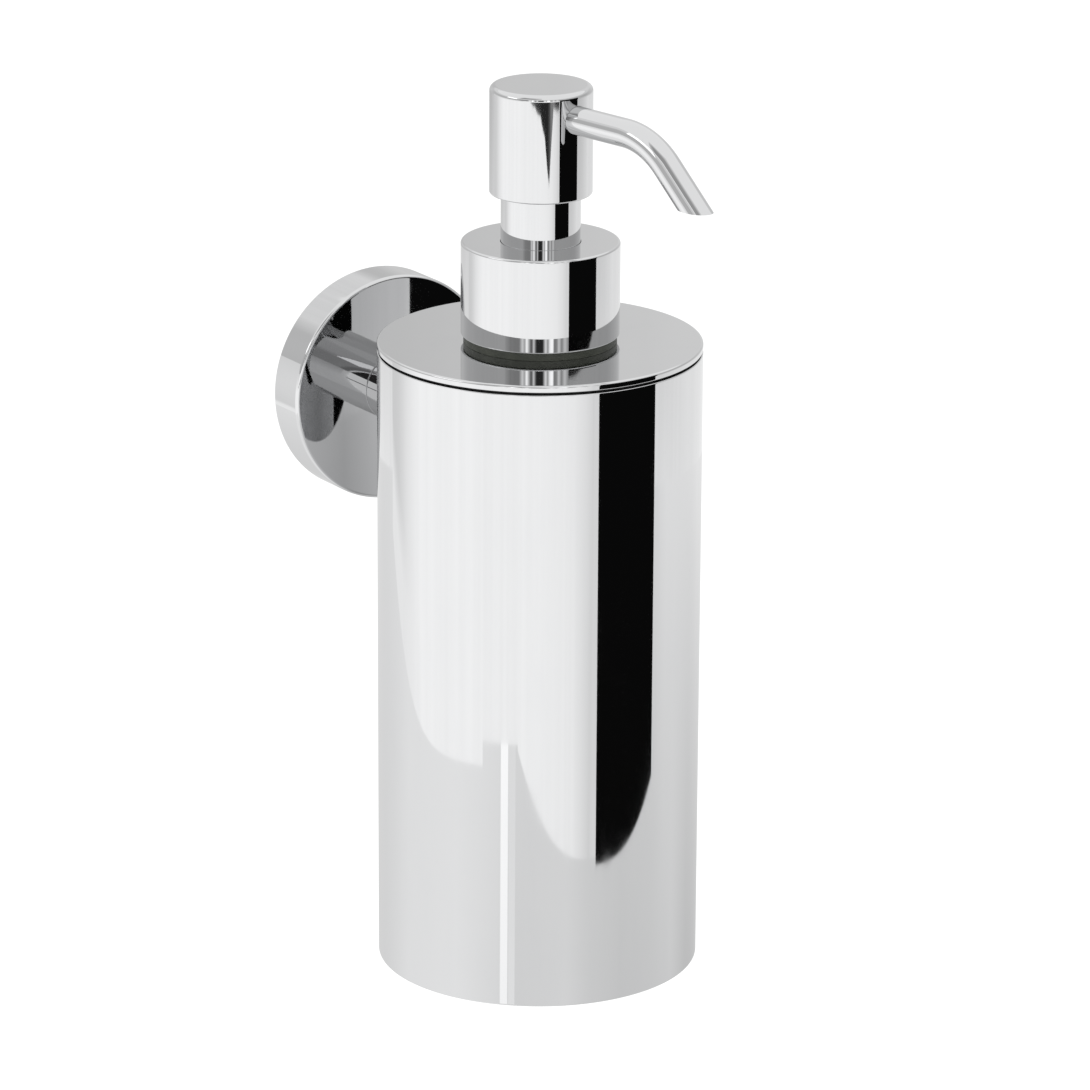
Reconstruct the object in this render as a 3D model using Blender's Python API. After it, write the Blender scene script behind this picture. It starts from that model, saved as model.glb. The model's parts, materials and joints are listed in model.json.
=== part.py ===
"""Wall mounted soap dispenser: a chromed round container on an arm and rosette, with a lotion pump.

Metres, +Z up. The wall is the plane y = 0 and the dispenser stands out from it towards -Y. The origin
is the centre of the rosette, on the wall. Heights on the container's axis are counted from the top of
its lid, heights on the rosette's axis from the wall.
"""
import math

import bmesh
import bpy
from mathutils import Matrix, Vector

MM = 0.001

# ---- driving dimensions ------------------------------------------------------------------------
BODY_RADIUS = 32.5 * MM            # container, outside
BODY_HEIGHT = 129.7 * MM           # top of the lid to the container's lower edge
LID_ABOVE_ARM = 23.3 * MM          # top of the lid above the arm's axis
SHELL_WALL = 1.0 * MM
SHELL_EDGE = 0.4 * MM              # rounding of the shell's lower edge

LID_THICKNESS = 1.4 * MM
LID_FILLET = 0.5 * MM
LID_SLIT = 0.5 * MM                # open joint between the lid's rim and the shell
SPIGOT_DEPTH = 7.0 * MM
SPIGOT_WALL = 2.2 * MM
SPIGOT_CLEARANCE = 0.4 * MM        # lid spigot in the shell
GASKET_SIDE = 1.2 * MM             # lid gasket, radial
GASKET_HEIGHT = 2.0 * MM

ROSETTE_RADIUS = 23.8 * MM
ROSETTE_DEPTH = 8.8 * MM
ROSETTE_WALL = 2.5 * MM
ROSETTE_FLOOR = 1.6 * MM
ROSETTE_FILLET = 0.7 * MM
ROSETTE_OFF_WALL = 0.2 * MM        # open joint between the rosette's rim and the wall
BRACKET_ROOM = 1.0 * MM            # between the bracket and the rosette's floor
BRACKET_CLEARANCE = 0.4 * MM       # bracket inside the rosette
BRACKET_SCREW_RIM = 1.6 * MM       # metal between a screw's sink and the groove
WALL_SCREW_HOLE = 2.25 * MM
WALL_SCREW_SINK = 4.2 * MM
GROOVE_DEPTH = 1.6 * MM            # set screw groove in the bracket's rim
SET_SCREW_RADIUS = 1.5 * MM
SET_SCREW_LENGTH = 3.8 * MM
SET_SCREW_SOCKET = 0.85 * MM        # hexagon socket, to its corners

ARM_RADIUS = 7.0 * MM
ARM_LENGTH = 21.0 * MM             # rosette to container
ARM_HOLE_END = 1.0 * MM            # hole beyond the screw's end
ARM_SCREW_RADIUS = 2.5 * MM
ARM_SCREW_REACH = 7.0 * MM         # thread inside the arm
ARM_SCREW_HEAD = 4.6 * MM
ARM_SCREW_HEAD_HEIGHT = 1.7 * MM
HEAD_SOCKET = 1.5 * MM             # hexagon socket, to its corners
SADDLE_THICKNESS = 1.2 * MM
SADDLE_WIDTH = 18.0 * MM

BASE_THICKNESS = 1.2 * MM
BASE_SKIRT = 5.0 * MM
BASE_RECESS = 0.8 * MM             # base skirt above the shell's lower edge
DRAIN_RADIUS = 2.5 * MM

BOTTLE_WALL = 1.2 * MM
BOTTLE_CLEARANCE = 0.7 * MM        # bottle past the screw head inside the shell
BOTTLE_ABOVE_BASE = 1.5 * MM
BOTTLE_SHOULDER = 6.0 * MM         # rounding of the bottle's shoulder
BOTTLE_FOOT = 4.0 * MM
NECK_CLEARANCE = 2.2 * MM          # neck around the pump's housing
NECK_WALL = 1.7 * MM
NECK_BEAD = 2.6 * MM               # bead under the lid, outside the neck
NECK_BEAD_HEIGHT = 1.0 * MM
THREAD_HEIGHT = 0.8 * MM
THREAD_PITCH = 4.2 * MM
THREAD_TURNS = 1.25
THREAD_BELOW_RIM = 2.6 * MM        # last turn below the neck's rim
THREAD_FOOT = 1.8 * MM             # width of the ridge at its root
THREAD_CREST = 0.7 * MM
THREAD_ROOT = 0.5 * MM             # ridge's root inside the neck's wall

COLLAR_BOTTOM = 1.6 * MM
COLLAR_TOP = 20.5 * MM
COLLAR_WALL = 0.8 * MM
COLLAR_FILLET = 0.5 * MM
NECK_SEAL_INSET = 0.55 * MM        # neck seal inside the collar's outline
CLOSURE_PLATE = 1.1 * MM
CLOSURE_WALL = 0.95 * MM

SLEEVE_RADIUS = 7.95 * MM
SLEEVE_FLANGE = 3.0 * MM           # flange, outside the sleeve
SLEEVE_FLANGE_HEIGHT = 1.2 * MM
SLEEVE_BORE = 5.0 * MM
SLEEVE_OVERLAP = 3.0 * MM          # sleeve inside the head at rest
SLEEVE_LIP = 1.5 * MM

HOUSING_BORE = 7.5 * MM
HOUSING_WALL = 1.3 * MM
HOUSING_DEPTH = 30.0 * MM          # shoulder of the ball chamber below the lid
HOUSING_FLANGE_HEIGHT = 1.5 * MM
PUMP_GASKET_HEIGHT = 1.1 * MM
SEAT_RADIUS = 1.6 * MM
SEAT_DEPTH = 2.0 * MM
SEAT_TO_SOCKET = 2.0 * MM
BALL_RADIUS = 2.4 * MM
BALL_TRAVEL = 1.2 * MM
BALL_CLEARANCE = 0.8 * MM          # ball in its chamber
CAGE_THICKNESS = 2.2 * MM
CAGE_PORT = 1.5 * MM
CAGE_PORTS = 4
DIP_RADIUS = 2.5 * MM
DIP_WALL = 0.8 * MM
DIP_SOCKET = 8.0 * MM
DIP_ABOVE_FLOOR = 2.0 * MM

PISTON_TOP = -0.7 * MM
PISTON_HEIGHT = 8.0 * MM
PISTON_SOCKET = 4.0 * MM
PISTON_PORT = 1.8 * MM
RING_HEIGHT = 1.6 * MM
RING_DEPTH = 1.6 * MM
RING_CLEARANCE = 0.1 * MM
RING_BELOW_TOP = 2.0 * MM          # ring's groove below the piston's top
STEM_RADIUS = 3.2 * MM
STEM_WALL = 1.2 * MM
SPRING_RADIUS = 4.9 * MM           # to the middle of the wire
SPRING_WIRE = 0.45 * MM
SPRING_TURNS = 8

HEAD_WALL = 1.8 * MM
HEAD_BOTTOM = 30.4 * MM
HEAD_FILLET = 1.2 * MM
HEAD_PLATE = 1.7 * MM
HEAD_STROKE = 9.0 * MM
HEAD_CAVITY_CLEARANCE = 0.5 * MM   # head over the guide sleeve
CORE_RADIUS = 5.7 * MM
CORE_STEM_DEPTH = 3.2 * MM
CORE_BELOW_PORT = 0.4 * MM
CORE_ABOVE_PORT = 0.3 * MM
CORE_WEB = 0.7 * MM                # between the stem's socket and the spout's port
CORE_PASSAGE = 1.8 * MM

SPOUT_RADIUS = 2.85 * MM
SPOUT_WALL = 0.6 * MM
SPOUT_LEVEL = 23.6 * MM            # pump's axis to the start of the bend
SPOUT_BEND = 16.9 * MM
SPOUT_DROP = math.radians(43.0)
SPOUT_FALL = 11.8 * MM             # level run's axis to the level cut at the tip
SPOUT_SWIVEL = math.radians(10.0)

GAP = 0.3 * MM                     # between pieces that rest on or in each other
STEM_CLEARANCE = 0.3 * MM          # stem in the sleeve's lip
PAST = 2.0 * MM                    # how far a cutting tool runs past its piece

LARGE = 48                         # sides of a large turned piece
MEDIUM = 32
SMALL = 20

# ---- sizes that follow -------------------------------------------------------------------------
ROSETTE_FRONT = ROSETTE_OFF_WALL + ROSETTE_DEPTH
ROSETTE_BORE = ROSETTE_RADIUS - ROSETTE_WALL
BRACKET_RADIUS = ROSETTE_BORE - BRACKET_CLEARANCE
BRACKET_DEPTH = ROSETTE_FRONT - ROSETTE_FLOOR - BRACKET_ROOM
GROOVE_HEIGHT = BRACKET_DEPTH / 2
ARM_BACK = ROSETTE_FRONT + GAP
ARM_FRONT = ARM_BACK + ARM_LENGTH
ARM_SCREW_HOLE = ARM_SCREW_RADIUS + GAP
ARM_HOLE_DEPTH = ARM_SCREW_REACH + ARM_HOLE_END
AXIS_TO_WALL = ARM_FRONT + GAP + BODY_RADIUS

SHELL_BORE = BODY_RADIUS - SHELL_WALL
SHELL_TOP = -LID_THICKNESS - LID_SLIT
SPIGOT_RADIUS = SHELL_BORE - SPIGOT_CLEARANCE
SADDLE_INNER = SHELL_BORE - GAP - SADDLE_THICKNESS
SCREW_HEAD_FACE = math.sqrt(SADDLE_INNER ** 2 - ARM_SCREW_HEAD ** 2) - GAP
BOTTLE_RADIUS = SCREW_HEAD_FACE - ARM_SCREW_HEAD_HEIGHT - BOTTLE_CLEARANCE
BASE_TOP = -BODY_HEIGHT + BASE_RECESS + BASE_SKIRT + BASE_THICKNESS
BOTTLE_BOTTOM = BASE_TOP + BOTTLE_ABOVE_BASE
HOUSING_RADIUS = HOUSING_BORE + HOUSING_WALL
NECK_BORE = HOUSING_RADIUS + NECK_CLEARANCE
NECK_RADIUS = NECK_BORE + NECK_WALL
THREAD_RADIUS = NECK_RADIUS + THREAD_HEIGHT
NECK_HOLE = THREAD_RADIUS + GAP
BEAD_TOP = -LID_THICKNESS - GAP

CLOSURE_RADIUS = THREAD_RADIUS + GAP + CLOSURE_WALL
COLLAR_BORE = CLOSURE_RADIUS + GAP
COLLAR_RADIUS = COLLAR_BORE + COLLAR_WALL
CLOSURE_TOP = COLLAR_TOP - COLLAR_WALL - GAP
SLEEVE_HOLE = SLEEVE_RADIUS + GAP
FLANGE_TOP = CLOSURE_TOP - CLOSURE_PLATE - GAP
FLANGE_BOTTOM = FLANGE_TOP - SLEEVE_FLANGE_HEIGHT
HOUSING_TOP = FLANGE_BOTTOM - GAP
HOUSING_FLANGE_BOTTOM = HOUSING_TOP - HOUSING_FLANGE_HEIGHT
GASKET_TOP = HOUSING_FLANGE_BOTTOM - GAP
NECK_TOP = GASKET_TOP - PUMP_GASKET_HEIGHT - GAP
SLEEVE_TOP = HEAD_BOTTOM + SLEEVE_OVERLAP
SLEEVE_BOTTOM = PISTON_TOP + GAP
PISTON_BOTTOM = PISTON_TOP - PISTON_HEIGHT
STEM_BOTTOM = PISTON_TOP - PISTON_SOCKET + GAP

CHAMBER_RADIUS = BALL_RADIUS + BALL_CLEARANCE
SEAT_SLOPE = math.atan2(CHAMBER_RADIUS - SEAT_RADIUS, SEAT_DEPTH)
BALL_ABOVE_SEAT = (BALL_RADIUS + GAP) / math.sin(SEAT_SLOPE) - SEAT_RADIUS / math.tan(SEAT_SLOPE)
SHOULDER = -HOUSING_DEPTH
SEAT_BOTTOM = SHOULDER - BALL_TRAVEL - BALL_RADIUS - BALL_ABOVE_SEAT
SEAT_TOP = SEAT_BOTTOM + SEAT_DEPTH
SOCKET_TOP = SEAT_BOTTOM - SEAT_TO_SOCKET
SOCKET_BOTTOM = SOCKET_TOP - DIP_SOCKET
CAGE_BOTTOM = SHOULDER + GAP
CAGE_TOP = CAGE_BOTTOM + CAGE_THICKNESS
DIP_BOTTOM = BOTTLE_BOTTOM + BOTTLE_WALL + DIP_ABOVE_FLOOR

CAVITY_TOP = SLEEVE_TOP + HEAD_STROKE + HEAD_CAVITY_CLEARANCE
CAVITY_RADIUS = SLEEVE_RADIUS + HEAD_CAVITY_CLEARANCE
HEAD_RADIUS = CAVITY_RADIUS + HEAD_WALL
CORE_BOTTOM = CAVITY_TOP + GAP
STEM_TOP = CORE_BOTTOM + CORE_STEM_DEPTH - GAP
PORT_RADIUS = SPOUT_RADIUS + GAP
SPOUT_HEIGHT = CORE_BOTTOM + CORE_BELOW_PORT + PORT_RADIUS
SPOUT_START = STEM_RADIUS + GAP + CORE_WEB
CORE_TOP = SPOUT_HEIGHT + PORT_RADIUS + CORE_ABOVE_PORT
HEAD_TOP = CORE_TOP + GAP + HEAD_PLATE

# ---- finishes: colour, roughness, metallic ------------------------------------------------------
CHROME = ((0.86, 0.87, 0.89), 0.05, 1.0)
STEEL = ((0.62, 0.62, 0.63), 0.25, 1.0)
ZINC = ((0.46, 0.47, 0.49), 0.45, 1.0)
CLEAR_PLASTIC = ((0.83, 0.86, 0.87), 0.35, 0.0)
WHITE_PLASTIC = ((0.80, 0.80, 0.78), 0.40, 0.0)
BLACK_RUBBER = ((0.03, 0.03, 0.03), 0.75, 0.0)
OLIVE_RUBBER = ((0.08, 0.09, 0.07), 0.70, 0.0)


def clear_scene():
    for old in list(bpy.data.objects):
        bpy.data.objects.remove(old, do_unlink=True)


def give_finish(piece, finish):
    """Give the piece a material of its own."""
    colour, roughness, metallic = finish
    material = bpy.data.materials.new(piece.name)
    material.use_nodes = True
    shader = material.node_tree.nodes["Principled BSDF"]
    shader.inputs["Base Color"].default_value = (*colour, 1.0)
    shader.inputs["Roughness"].default_value = roughness
    shader.inputs["Metallic"].default_value = metallic
    piece.data.materials.clear()
    piece.data.materials.append(material)


def add_axis(name, place, turn=(0.0, 0.0, 0.0), parent=None):
    """Empty that holds the pieces of one axis."""
    axis = bpy.data.objects.new(name, None)
    axis.location = place
    axis.rotation_euler = turn
    axis.parent = parent
    axis.empty_display_size = 5 * MM
    bpy.context.scene.collection.objects.link(axis)
    return axis


def add_mesh(name, bm, parent=None):
    """Object from a bmesh, with its faces turned outwards and its round sides shaded smooth."""
    bmesh.ops.recalc_face_normals(bm, faces=bm.faces)
    mesh = bpy.data.meshes.new(name)
    bm.to_mesh(mesh)
    bm.free()
    mesh.shade_smooth()
    mesh.set_sharp_from_angle(angle=math.radians(35.0))
    piece = bpy.data.objects.new(name, mesh)
    piece.parent = parent
    bpy.context.scene.collection.objects.link(piece)
    return piece


def turn_outline(outline, sides):
    """Bmesh of a closed outline of (radius, height) points, turned about Z."""
    bm = bmesh.new()
    points = [bm.verts.new((radius, 0.0, height)) for radius, height in outline]
    pairs = zip(points, points[1:] + points[:1])
    lines = [bm.edges.new(pair) for pair in pairs if max(pair[0].co.x, pair[1].co.x) > 0.0]
    axis = Vector((0.0, 0.0, 1.0))
    bmesh.ops.spin(bm, geom=points + lines, cent=Vector(), axis=axis, angle=math.tau, steps=sides,
                   use_merge=True)
    bmesh.ops.remove_doubles(bm, verts=bm.verts, dist=0.001 * MM)
    return bm


def add_turned(name, outline, finish, parent, sides=MEDIUM):
    piece = add_mesh(name, turn_outline(outline, sides), parent)
    give_finish(piece, finish)
    return piece


def corner(radius, height, rounding, start, end, steps=3):
    """Points of a rounded corner about (radius, height), from start to end in degrees."""
    points = []
    for step in range(steps + 1):
        angle = math.radians(start + (end - start) * step / steps)
        points.append((radius + rounding * math.cos(angle), height + rounding * math.sin(angle)))
    return points


def tube_outline(inner, outer, low, high):
    return [(inner, low), (outer, low), (outer, high), (inner, high)]


def hide_cutter(cutter):
    cutter.hide_render = True
    cutter.display_type = "WIRE"


def combine(piece, tool, operation="DIFFERENCE"):
    """Boolean of the piece with a hidden tool."""
    modifier = piece.modifiers.new(tool.name, "BOOLEAN")
    modifier.operation = operation
    modifier.solver = "EXACT"
    modifier.object = tool
    hide_cutter(tool)


def add_rod_tool(name, radius, low, high, parent, place=(0.0, 0.0, 0.0), turn=(0.0, 0.0, 0.0), sides=SMALL):
    """Round or many-sided tool along its own Z, from low to high."""
    outline = [(0.0, low), (radius, low), (radius, high), (0.0, high)]
    tool = add_mesh(name, turn_outline(outline, sides), parent)
    tool.location = place
    tool.rotation_euler = turn
    return tool


def sweep(path, across, up, outer, inner=None, sides=16):
    """Bmesh of a round wire or tube along a path, with the section's two directions at each point."""
    bm = bmesh.new()
    skins = []
    for radius in [outer] if inner is None else [outer, inner]:
        rings = []
        for point, side, top in zip(path, across, up):
            angles = [math.tau * k / sides for k in range(sides)]
            places = [point + radius * (side * math.cos(a) + top * math.sin(a)) for a in angles]
            rings.append([bm.verts.new(place) for place in places])
        for first, second in zip(rings, rings[1:]):
            for k in range(sides):
                after = (k + 1) % sides
                bm.faces.new((first[k], first[after], second[after], second[k]))
        skins.append(rings)
    for end in (0, -1):
        if inner is None:
            bm.faces.new(skins[0][end])
            continue
        for k in range(sides):
            after = (k + 1) % sides
            bm.faces.new((skins[0][end][k], skins[0][end][after], skins[1][end][after], skins[1][end][k]))
    return bm


# ---- wall fixing -------------------------------------------------------------------------------
def make_wall_bracket(axis):
    recess = ARM_SCREW_HEAD + 2 * BRACKET_CLEARANCE
    recess_floor = ARM_BACK - GAP - ROSETTE_FLOOR - 2 * GAP - ARM_SCREW_HEAD_HEIGHT - BRACKET_CLEARANCE
    groove_mouth = SET_SCREW_RADIUS + 2 * GAP
    edge = 0.5 * MM
    outline = [
        (0.0, 0.0),
        (BRACKET_RADIUS, 0.0),
        (BRACKET_RADIUS, GROOVE_HEIGHT - groove_mouth),
        (BRACKET_RADIUS - GROOVE_DEPTH, GROOVE_HEIGHT - SET_SCREW_RADIUS),
        (BRACKET_RADIUS - GROOVE_DEPTH, GROOVE_HEIGHT + SET_SCREW_RADIUS),
        (BRACKET_RADIUS, GROOVE_HEIGHT + groove_mouth),
        (BRACKET_RADIUS - edge, BRACKET_DEPTH),
        (recess, BRACKET_DEPTH),
        (recess, recess_floor),
        (0.0, recess_floor),
    ]
    bracket = add_turned("wall_bracket", outline, ZINC, axis)
    sink_start = BRACKET_DEPTH - (WALL_SCREW_SINK - WALL_SCREW_HOLE)
    sink = [
        (0.0, -PAST),
        (WALL_SCREW_HOLE, -PAST),
        (WALL_SCREW_HOLE, sink_start),
        (WALL_SCREW_SINK + PAST, BRACKET_DEPTH + PAST),
        (0.0, BRACKET_DEPTH + PAST),
    ]
    reach = BRACKET_RADIUS - GROOVE_DEPTH - BRACKET_SCREW_RIM - WALL_SCREW_SINK
    for side in (-1, 1):
        tool = add_mesh(f"wall_screw_tool_{side + 1}", turn_outline(sink, SMALL), axis)
        tool.location = (side * reach, 0.0, 0.0)
        combine(bracket, tool)
    return bracket


def make_rosette(axis):
    floor = ROSETTE_FRONT - ROSETTE_FLOOR
    fillet = ROSETTE_FILLET
    outline = [(ROSETTE_BORE, ROSETTE_OFF_WALL), (ROSETTE_RADIUS, ROSETTE_OFF_WALL)]
    outline += corner(ROSETTE_RADIUS - fillet, ROSETTE_FRONT - fillet, fillet, 0, 90)
    outline += [(ARM_SCREW_HOLE, ROSETTE_FRONT), (ARM_SCREW_HOLE, floor)]
    outline += [(ROSETTE_BORE - fillet, floor), (ROSETTE_BORE, floor - fillet)]
    rosette = add_turned("rosette", outline, CHROME, axis, LARGE)
    low = ROSETTE_BORE - PAST
    high = ROSETTE_RADIUS + PAST
    place = (0.0, 0.0, GROOVE_HEIGHT)
    tool = add_rod_tool("set_screw_tool", SET_SCREW_RADIUS + GAP, low, high, axis, place,
                        (math.radians(90.0), 0.0, 0.0))
    combine(rosette, tool)
    return rosette


def add_screw(name, outline, finish, parent, place, turn, socket, socket_low, socket_high):
    """Turned screw with a hexagon socket along its own Z."""
    screw = add_turned(name, outline, finish, parent, SMALL)
    screw.location = place
    screw.rotation_euler = turn
    tool = add_rod_tool(name + "_socket", socket, socket_low, socket_high, screw, sides=6)
    combine(screw, tool)
    return screw


def make_set_screw(axis):
    """Grub screw under the rosette, its cone in the bracket's groove."""
    tip = BRACKET_RADIUS - GROOVE_DEPTH + GAP
    cone = 0.7 * MM
    back = tip + SET_SCREW_LENGTH
    outline = [
        (0.0, tip),
        (SET_SCREW_RADIUS - cone, tip),
        (SET_SCREW_RADIUS, tip + cone),
        (SET_SCREW_RADIUS, back),
        (0.0, back),
    ]
    place = (0.0, 0.0, GROOVE_HEIGHT)
    turn = (math.radians(90.0), 0.0, 0.0)
    socket_depth = 1.6 * MM
    return add_screw("rosette_set_screw", outline, STEEL, axis, place, turn, SET_SCREW_SOCKET,
                     back - socket_depth, back + socket_depth)


def make_arm(axis):
    """Round arm: square at the rosette, coped to the container's shell."""
    edge = 0.4 * MM
    outline = [
        (0.0, ARM_BACK),
        (ARM_RADIUS - edge, ARM_BACK),
        (ARM_RADIUS, ARM_BACK + edge),
        (ARM_RADIUS, AXIS_TO_WALL),
        (0.0, AXIS_TO_WALL),
    ]
    arm = add_turned("arm", outline, CHROME, axis, MEDIUM)
    cope = add_rod_tool("arm_cope_tool", BODY_RADIUS + GAP, -BODY_RADIUS, BODY_RADIUS, None,
                        (0.0, -AXIS_TO_WALL, 0.0), sides=2 * LARGE)
    combine(arm, cope)
    rear = add_rod_tool("arm_rear_hole", ARM_SCREW_HOLE, ROSETTE_FRONT, ARM_BACK + ARM_HOLE_DEPTH, axis)
    combine(arm, rear)
    front = add_rod_tool("arm_front_hole", ARM_SCREW_HOLE, ARM_FRONT - ARM_HOLE_DEPTH, AXIS_TO_WALL, axis)
    combine(arm, front)
    return arm


def arm_screw_outline(under_head):
    """Pan head screw along Z: the head's underside is at 0 and the thread runs up."""
    edge = 0.5 * MM
    length = under_head + ARM_SCREW_REACH
    return [
        (0.0, -ARM_SCREW_HEAD_HEIGHT),
        (ARM_SCREW_HEAD - edge, -ARM_SCREW_HEAD_HEIGHT),
        (ARM_SCREW_HEAD, edge - ARM_SCREW_HEAD_HEIGHT),
        (ARM_SCREW_HEAD, 0.0),
        (ARM_SCREW_RADIUS, 0.0),
        (ARM_SCREW_RADIUS, length - edge),
        (ARM_SCREW_RADIUS - edge, length),
        (0.0, length),
    ]


def make_arm_screws(axis):
    socket_low = -2 * ARM_SCREW_HEAD_HEIGHT
    socket_high = -0.3 * ARM_SCREW_HEAD_HEIGHT
    rear_seat = ROSETTE_FRONT - ROSETTE_FLOOR - GAP
    add_screw("arm_screw_rear", arm_screw_outline(ARM_BACK - rear_seat), STEEL, axis,
              (0.0, 0.0, rear_seat), (0.0, 0.0, 0.0), HEAD_SOCKET, socket_low, socket_high)
    front_seat = AXIS_TO_WALL - SCREW_HEAD_FACE
    add_screw("arm_screw_front", arm_screw_outline(front_seat - ARM_FRONT), STEEL, axis,
              (0.0, 0.0, front_seat), (math.radians(180.0), 0.0, 0.0), HEAD_SOCKET, socket_low, socket_high)


def make_saddle(axis):
    """Curved plate that spreads the front screw's load on the inside of the shell."""
    half = SADDLE_WIDTH / 2
    arm_height = -LID_ABOVE_ARM
    outline = tube_outline(SADDLE_INNER, SHELL_BORE - GAP, arm_height - half, arm_height + half)
    saddle = add_turned("saddle_washer", outline, STEEL, axis, 2 * LARGE)
    block_bm = bmesh.new()
    bmesh.ops.create_cube(block_bm, size=SADDLE_WIDTH, matrix=Matrix.Diagonal((1.0, 1.0, 2.0, 1.0)))
    block = add_mesh("saddle_block_tool", block_bm, axis)
    block.location = (0.0, SHELL_BORE, arm_height)
    combine(saddle, block, "INTERSECT")
    hole = add_rod_tool("saddle_hole_tool", ARM_SCREW_HOLE, 0.0, BODY_RADIUS, axis,
                        (0.0, 0.0, arm_height), (math.radians(-90.0), 0.0, 0.0))
    combine(saddle, hole)
    return saddle


# ---- container ---------------------------------------------------------------------------------
def make_shell(axis):
    bottom = -BODY_HEIGHT
    edge = 0.2 * MM
    outline = [(SHELL_BORE, bottom + edge), (SHELL_BORE + edge, bottom)]
    outline += corner(BODY_RADIUS - SHELL_EDGE, bottom + SHELL_EDGE, SHELL_EDGE, -90, 0)
    outline += [(BODY_RADIUS, SHELL_TOP - edge), (BODY_RADIUS - edge, SHELL_TOP), (SHELL_BORE, SHELL_TOP)]
    shell = add_turned("container_shell", outline, CHROME, axis, LARGE)
    hole = add_rod_tool("shell_hole_tool", ARM_SCREW_HOLE, SHELL_BORE - PAST, BODY_RADIUS + PAST, axis,
                        (0.0, 0.0, -LID_ABOVE_ARM), (math.radians(-90.0), 0.0, 0.0))
    combine(shell, hole)
    return shell


def make_base(axis):
    """Pressed base: a disc with a skirt down inside the shell and a drain hole."""
    radius = SHELL_BORE - GAP
    low = -BODY_HEIGHT + BASE_RECESS
    outline = [(radius - BASE_THICKNESS, low), (radius, low)]
    outline += corner(radius - BASE_THICKNESS, BASE_TOP - BASE_THICKNESS, BASE_THICKNESS, 0, 90)
    outline += [(DRAIN_RADIUS, BASE_TOP), (DRAIN_RADIUS, BASE_TOP - BASE_THICKNESS)]
    outline += [(radius - BASE_THICKNESS, BASE_TOP - BASE_THICKNESS)]
    return add_turned("container_base", outline, STEEL, axis, LARGE)


def make_lid(axis):
    """Lid: a thin plate with a rounded rim, and a grooved spigot that goes into the shell."""
    groove_radius = SHELL_BORE - GASKET_SIDE - 2 * GAP
    groove_bottom = -LID_THICKNESS - GASKET_HEIGHT - 2 * GAP
    spigot_bottom = -LID_THICKNESS - SPIGOT_DEPTH
    spigot_bore = groove_radius - SPIGOT_WALL
    outline = [(NECK_HOLE, -LID_THICKNESS), (spigot_bore, -LID_THICKNESS), (spigot_bore, spigot_bottom)]
    outline += [(SPIGOT_RADIUS, spigot_bottom), (SPIGOT_RADIUS, groove_bottom)]
    outline += [(groove_radius, groove_bottom), (groove_radius, -LID_THICKNESS)]
    outline += [(BODY_RADIUS, -LID_THICKNESS)]
    outline += corner(BODY_RADIUS - LID_FILLET, -LID_FILLET, LID_FILLET, 0, 90)
    outline += [(NECK_HOLE, 0.0)]
    return add_turned("lid", outline, CHROME, axis, LARGE)


def make_lid_gasket(axis):
    outer = SHELL_BORE - GAP
    high = -LID_THICKNESS - GAP
    middle = high - GASKET_HEIGHT / 2
    outline = [
        (outer - GASKET_SIDE, high - GASKET_HEIGHT),
        (outer - GASKET_SIDE / 3, high - GASKET_HEIGHT),
        (outer, middle),
        (outer - GASKET_SIDE / 3, high),
        (outer - GASKET_SIDE, high),
    ]
    return add_turned("lid_gasket", outline, BLACK_RUBBER, axis, LARGE)


def add_neck_thread(axis):
    """Helical ridge on the neck, rooted in the neck's wall."""
    steps_per_turn = MEDIUM
    count = int(THREAD_TURNS * steps_per_turn) + 1
    root = NECK_RADIUS - THREAD_ROOT
    low = NECK_TOP - THREAD_BELOW_RIM - THREAD_PITCH * THREAD_TURNS
    run_out = steps_per_turn / 4
    bm = bmesh.new()
    rings = []
    for step in range(count):
        turn = math.tau * step / steps_per_turn
        to_end = min(step, count - 1 - step)
        fade = min(1.0, 0.5 + to_end / run_out)
        height = low + THREAD_PITCH * step / steps_per_turn
        crest = NECK_RADIUS + THREAD_HEIGHT * fade
        section = [
            (root, -THREAD_FOOT / 2),
            (crest, -THREAD_CREST / 2),
            (crest, THREAD_CREST / 2),
            (root, THREAD_FOOT / 2),
        ]
        rings.append([bm.verts.new((r * math.cos(turn), r * math.sin(turn), height + z)) for r, z in section])
    for first, second in zip(rings, rings[1:]):
        for k in range(4):
            after = (k + 1) % 4
            bm.faces.new((first[k], first[after], second[after], second[k]))
    bm.faces.new(rings[0])
    bm.faces.new(rings[-1])
    return add_mesh("neck_thread_tool", bm, axis)


def make_bottle(axis):
    """Plastic bottle in the container; its threaded neck comes up through the lid."""
    bead = NECK_RADIUS + NECK_BEAD
    bead_bottom = BEAD_TOP - NECK_BEAD_HEIGHT
    shoulder_top = bead_bottom - NECK_WALL
    wall = BOTTLE_WALL
    foot = BOTTLE_FOOT
    round_out = BOTTLE_SHOULDER
    outline = [(0.0, BOTTLE_BOTTOM)]
    outline += corner(BOTTLE_RADIUS - foot, BOTTLE_BOTTOM + foot, foot, -90, 0)
    outline += corner(BOTTLE_RADIUS - round_out, shoulder_top - round_out, round_out, 0, 90, 5)
    outline += [(NECK_RADIUS, shoulder_top), (NECK_RADIUS, bead_bottom), (bead, bead_bottom)]
    outline += [(bead, BEAD_TOP), (NECK_RADIUS, BEAD_TOP), (NECK_RADIUS, NECK_TOP), (NECK_BORE, NECK_TOP)]
    outline += [(NECK_BORE, shoulder_top - wall)]
    inner_round = round_out - wall
    outline += corner(BOTTLE_RADIUS - round_out, shoulder_top - round_out, inner_round, 90, 0, 5)
    outline += corner(BOTTLE_RADIUS - foot, BOTTLE_BOTTOM + foot, foot - wall, 0, -90)
    outline += [(0.0, BOTTLE_BOTTOM + wall)]
    bottle = add_turned("bottle", outline, CLEAR_PLASTIC, axis, MEDIUM)
    combine(bottle, add_neck_thread(axis), "UNION")
    return bottle


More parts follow.
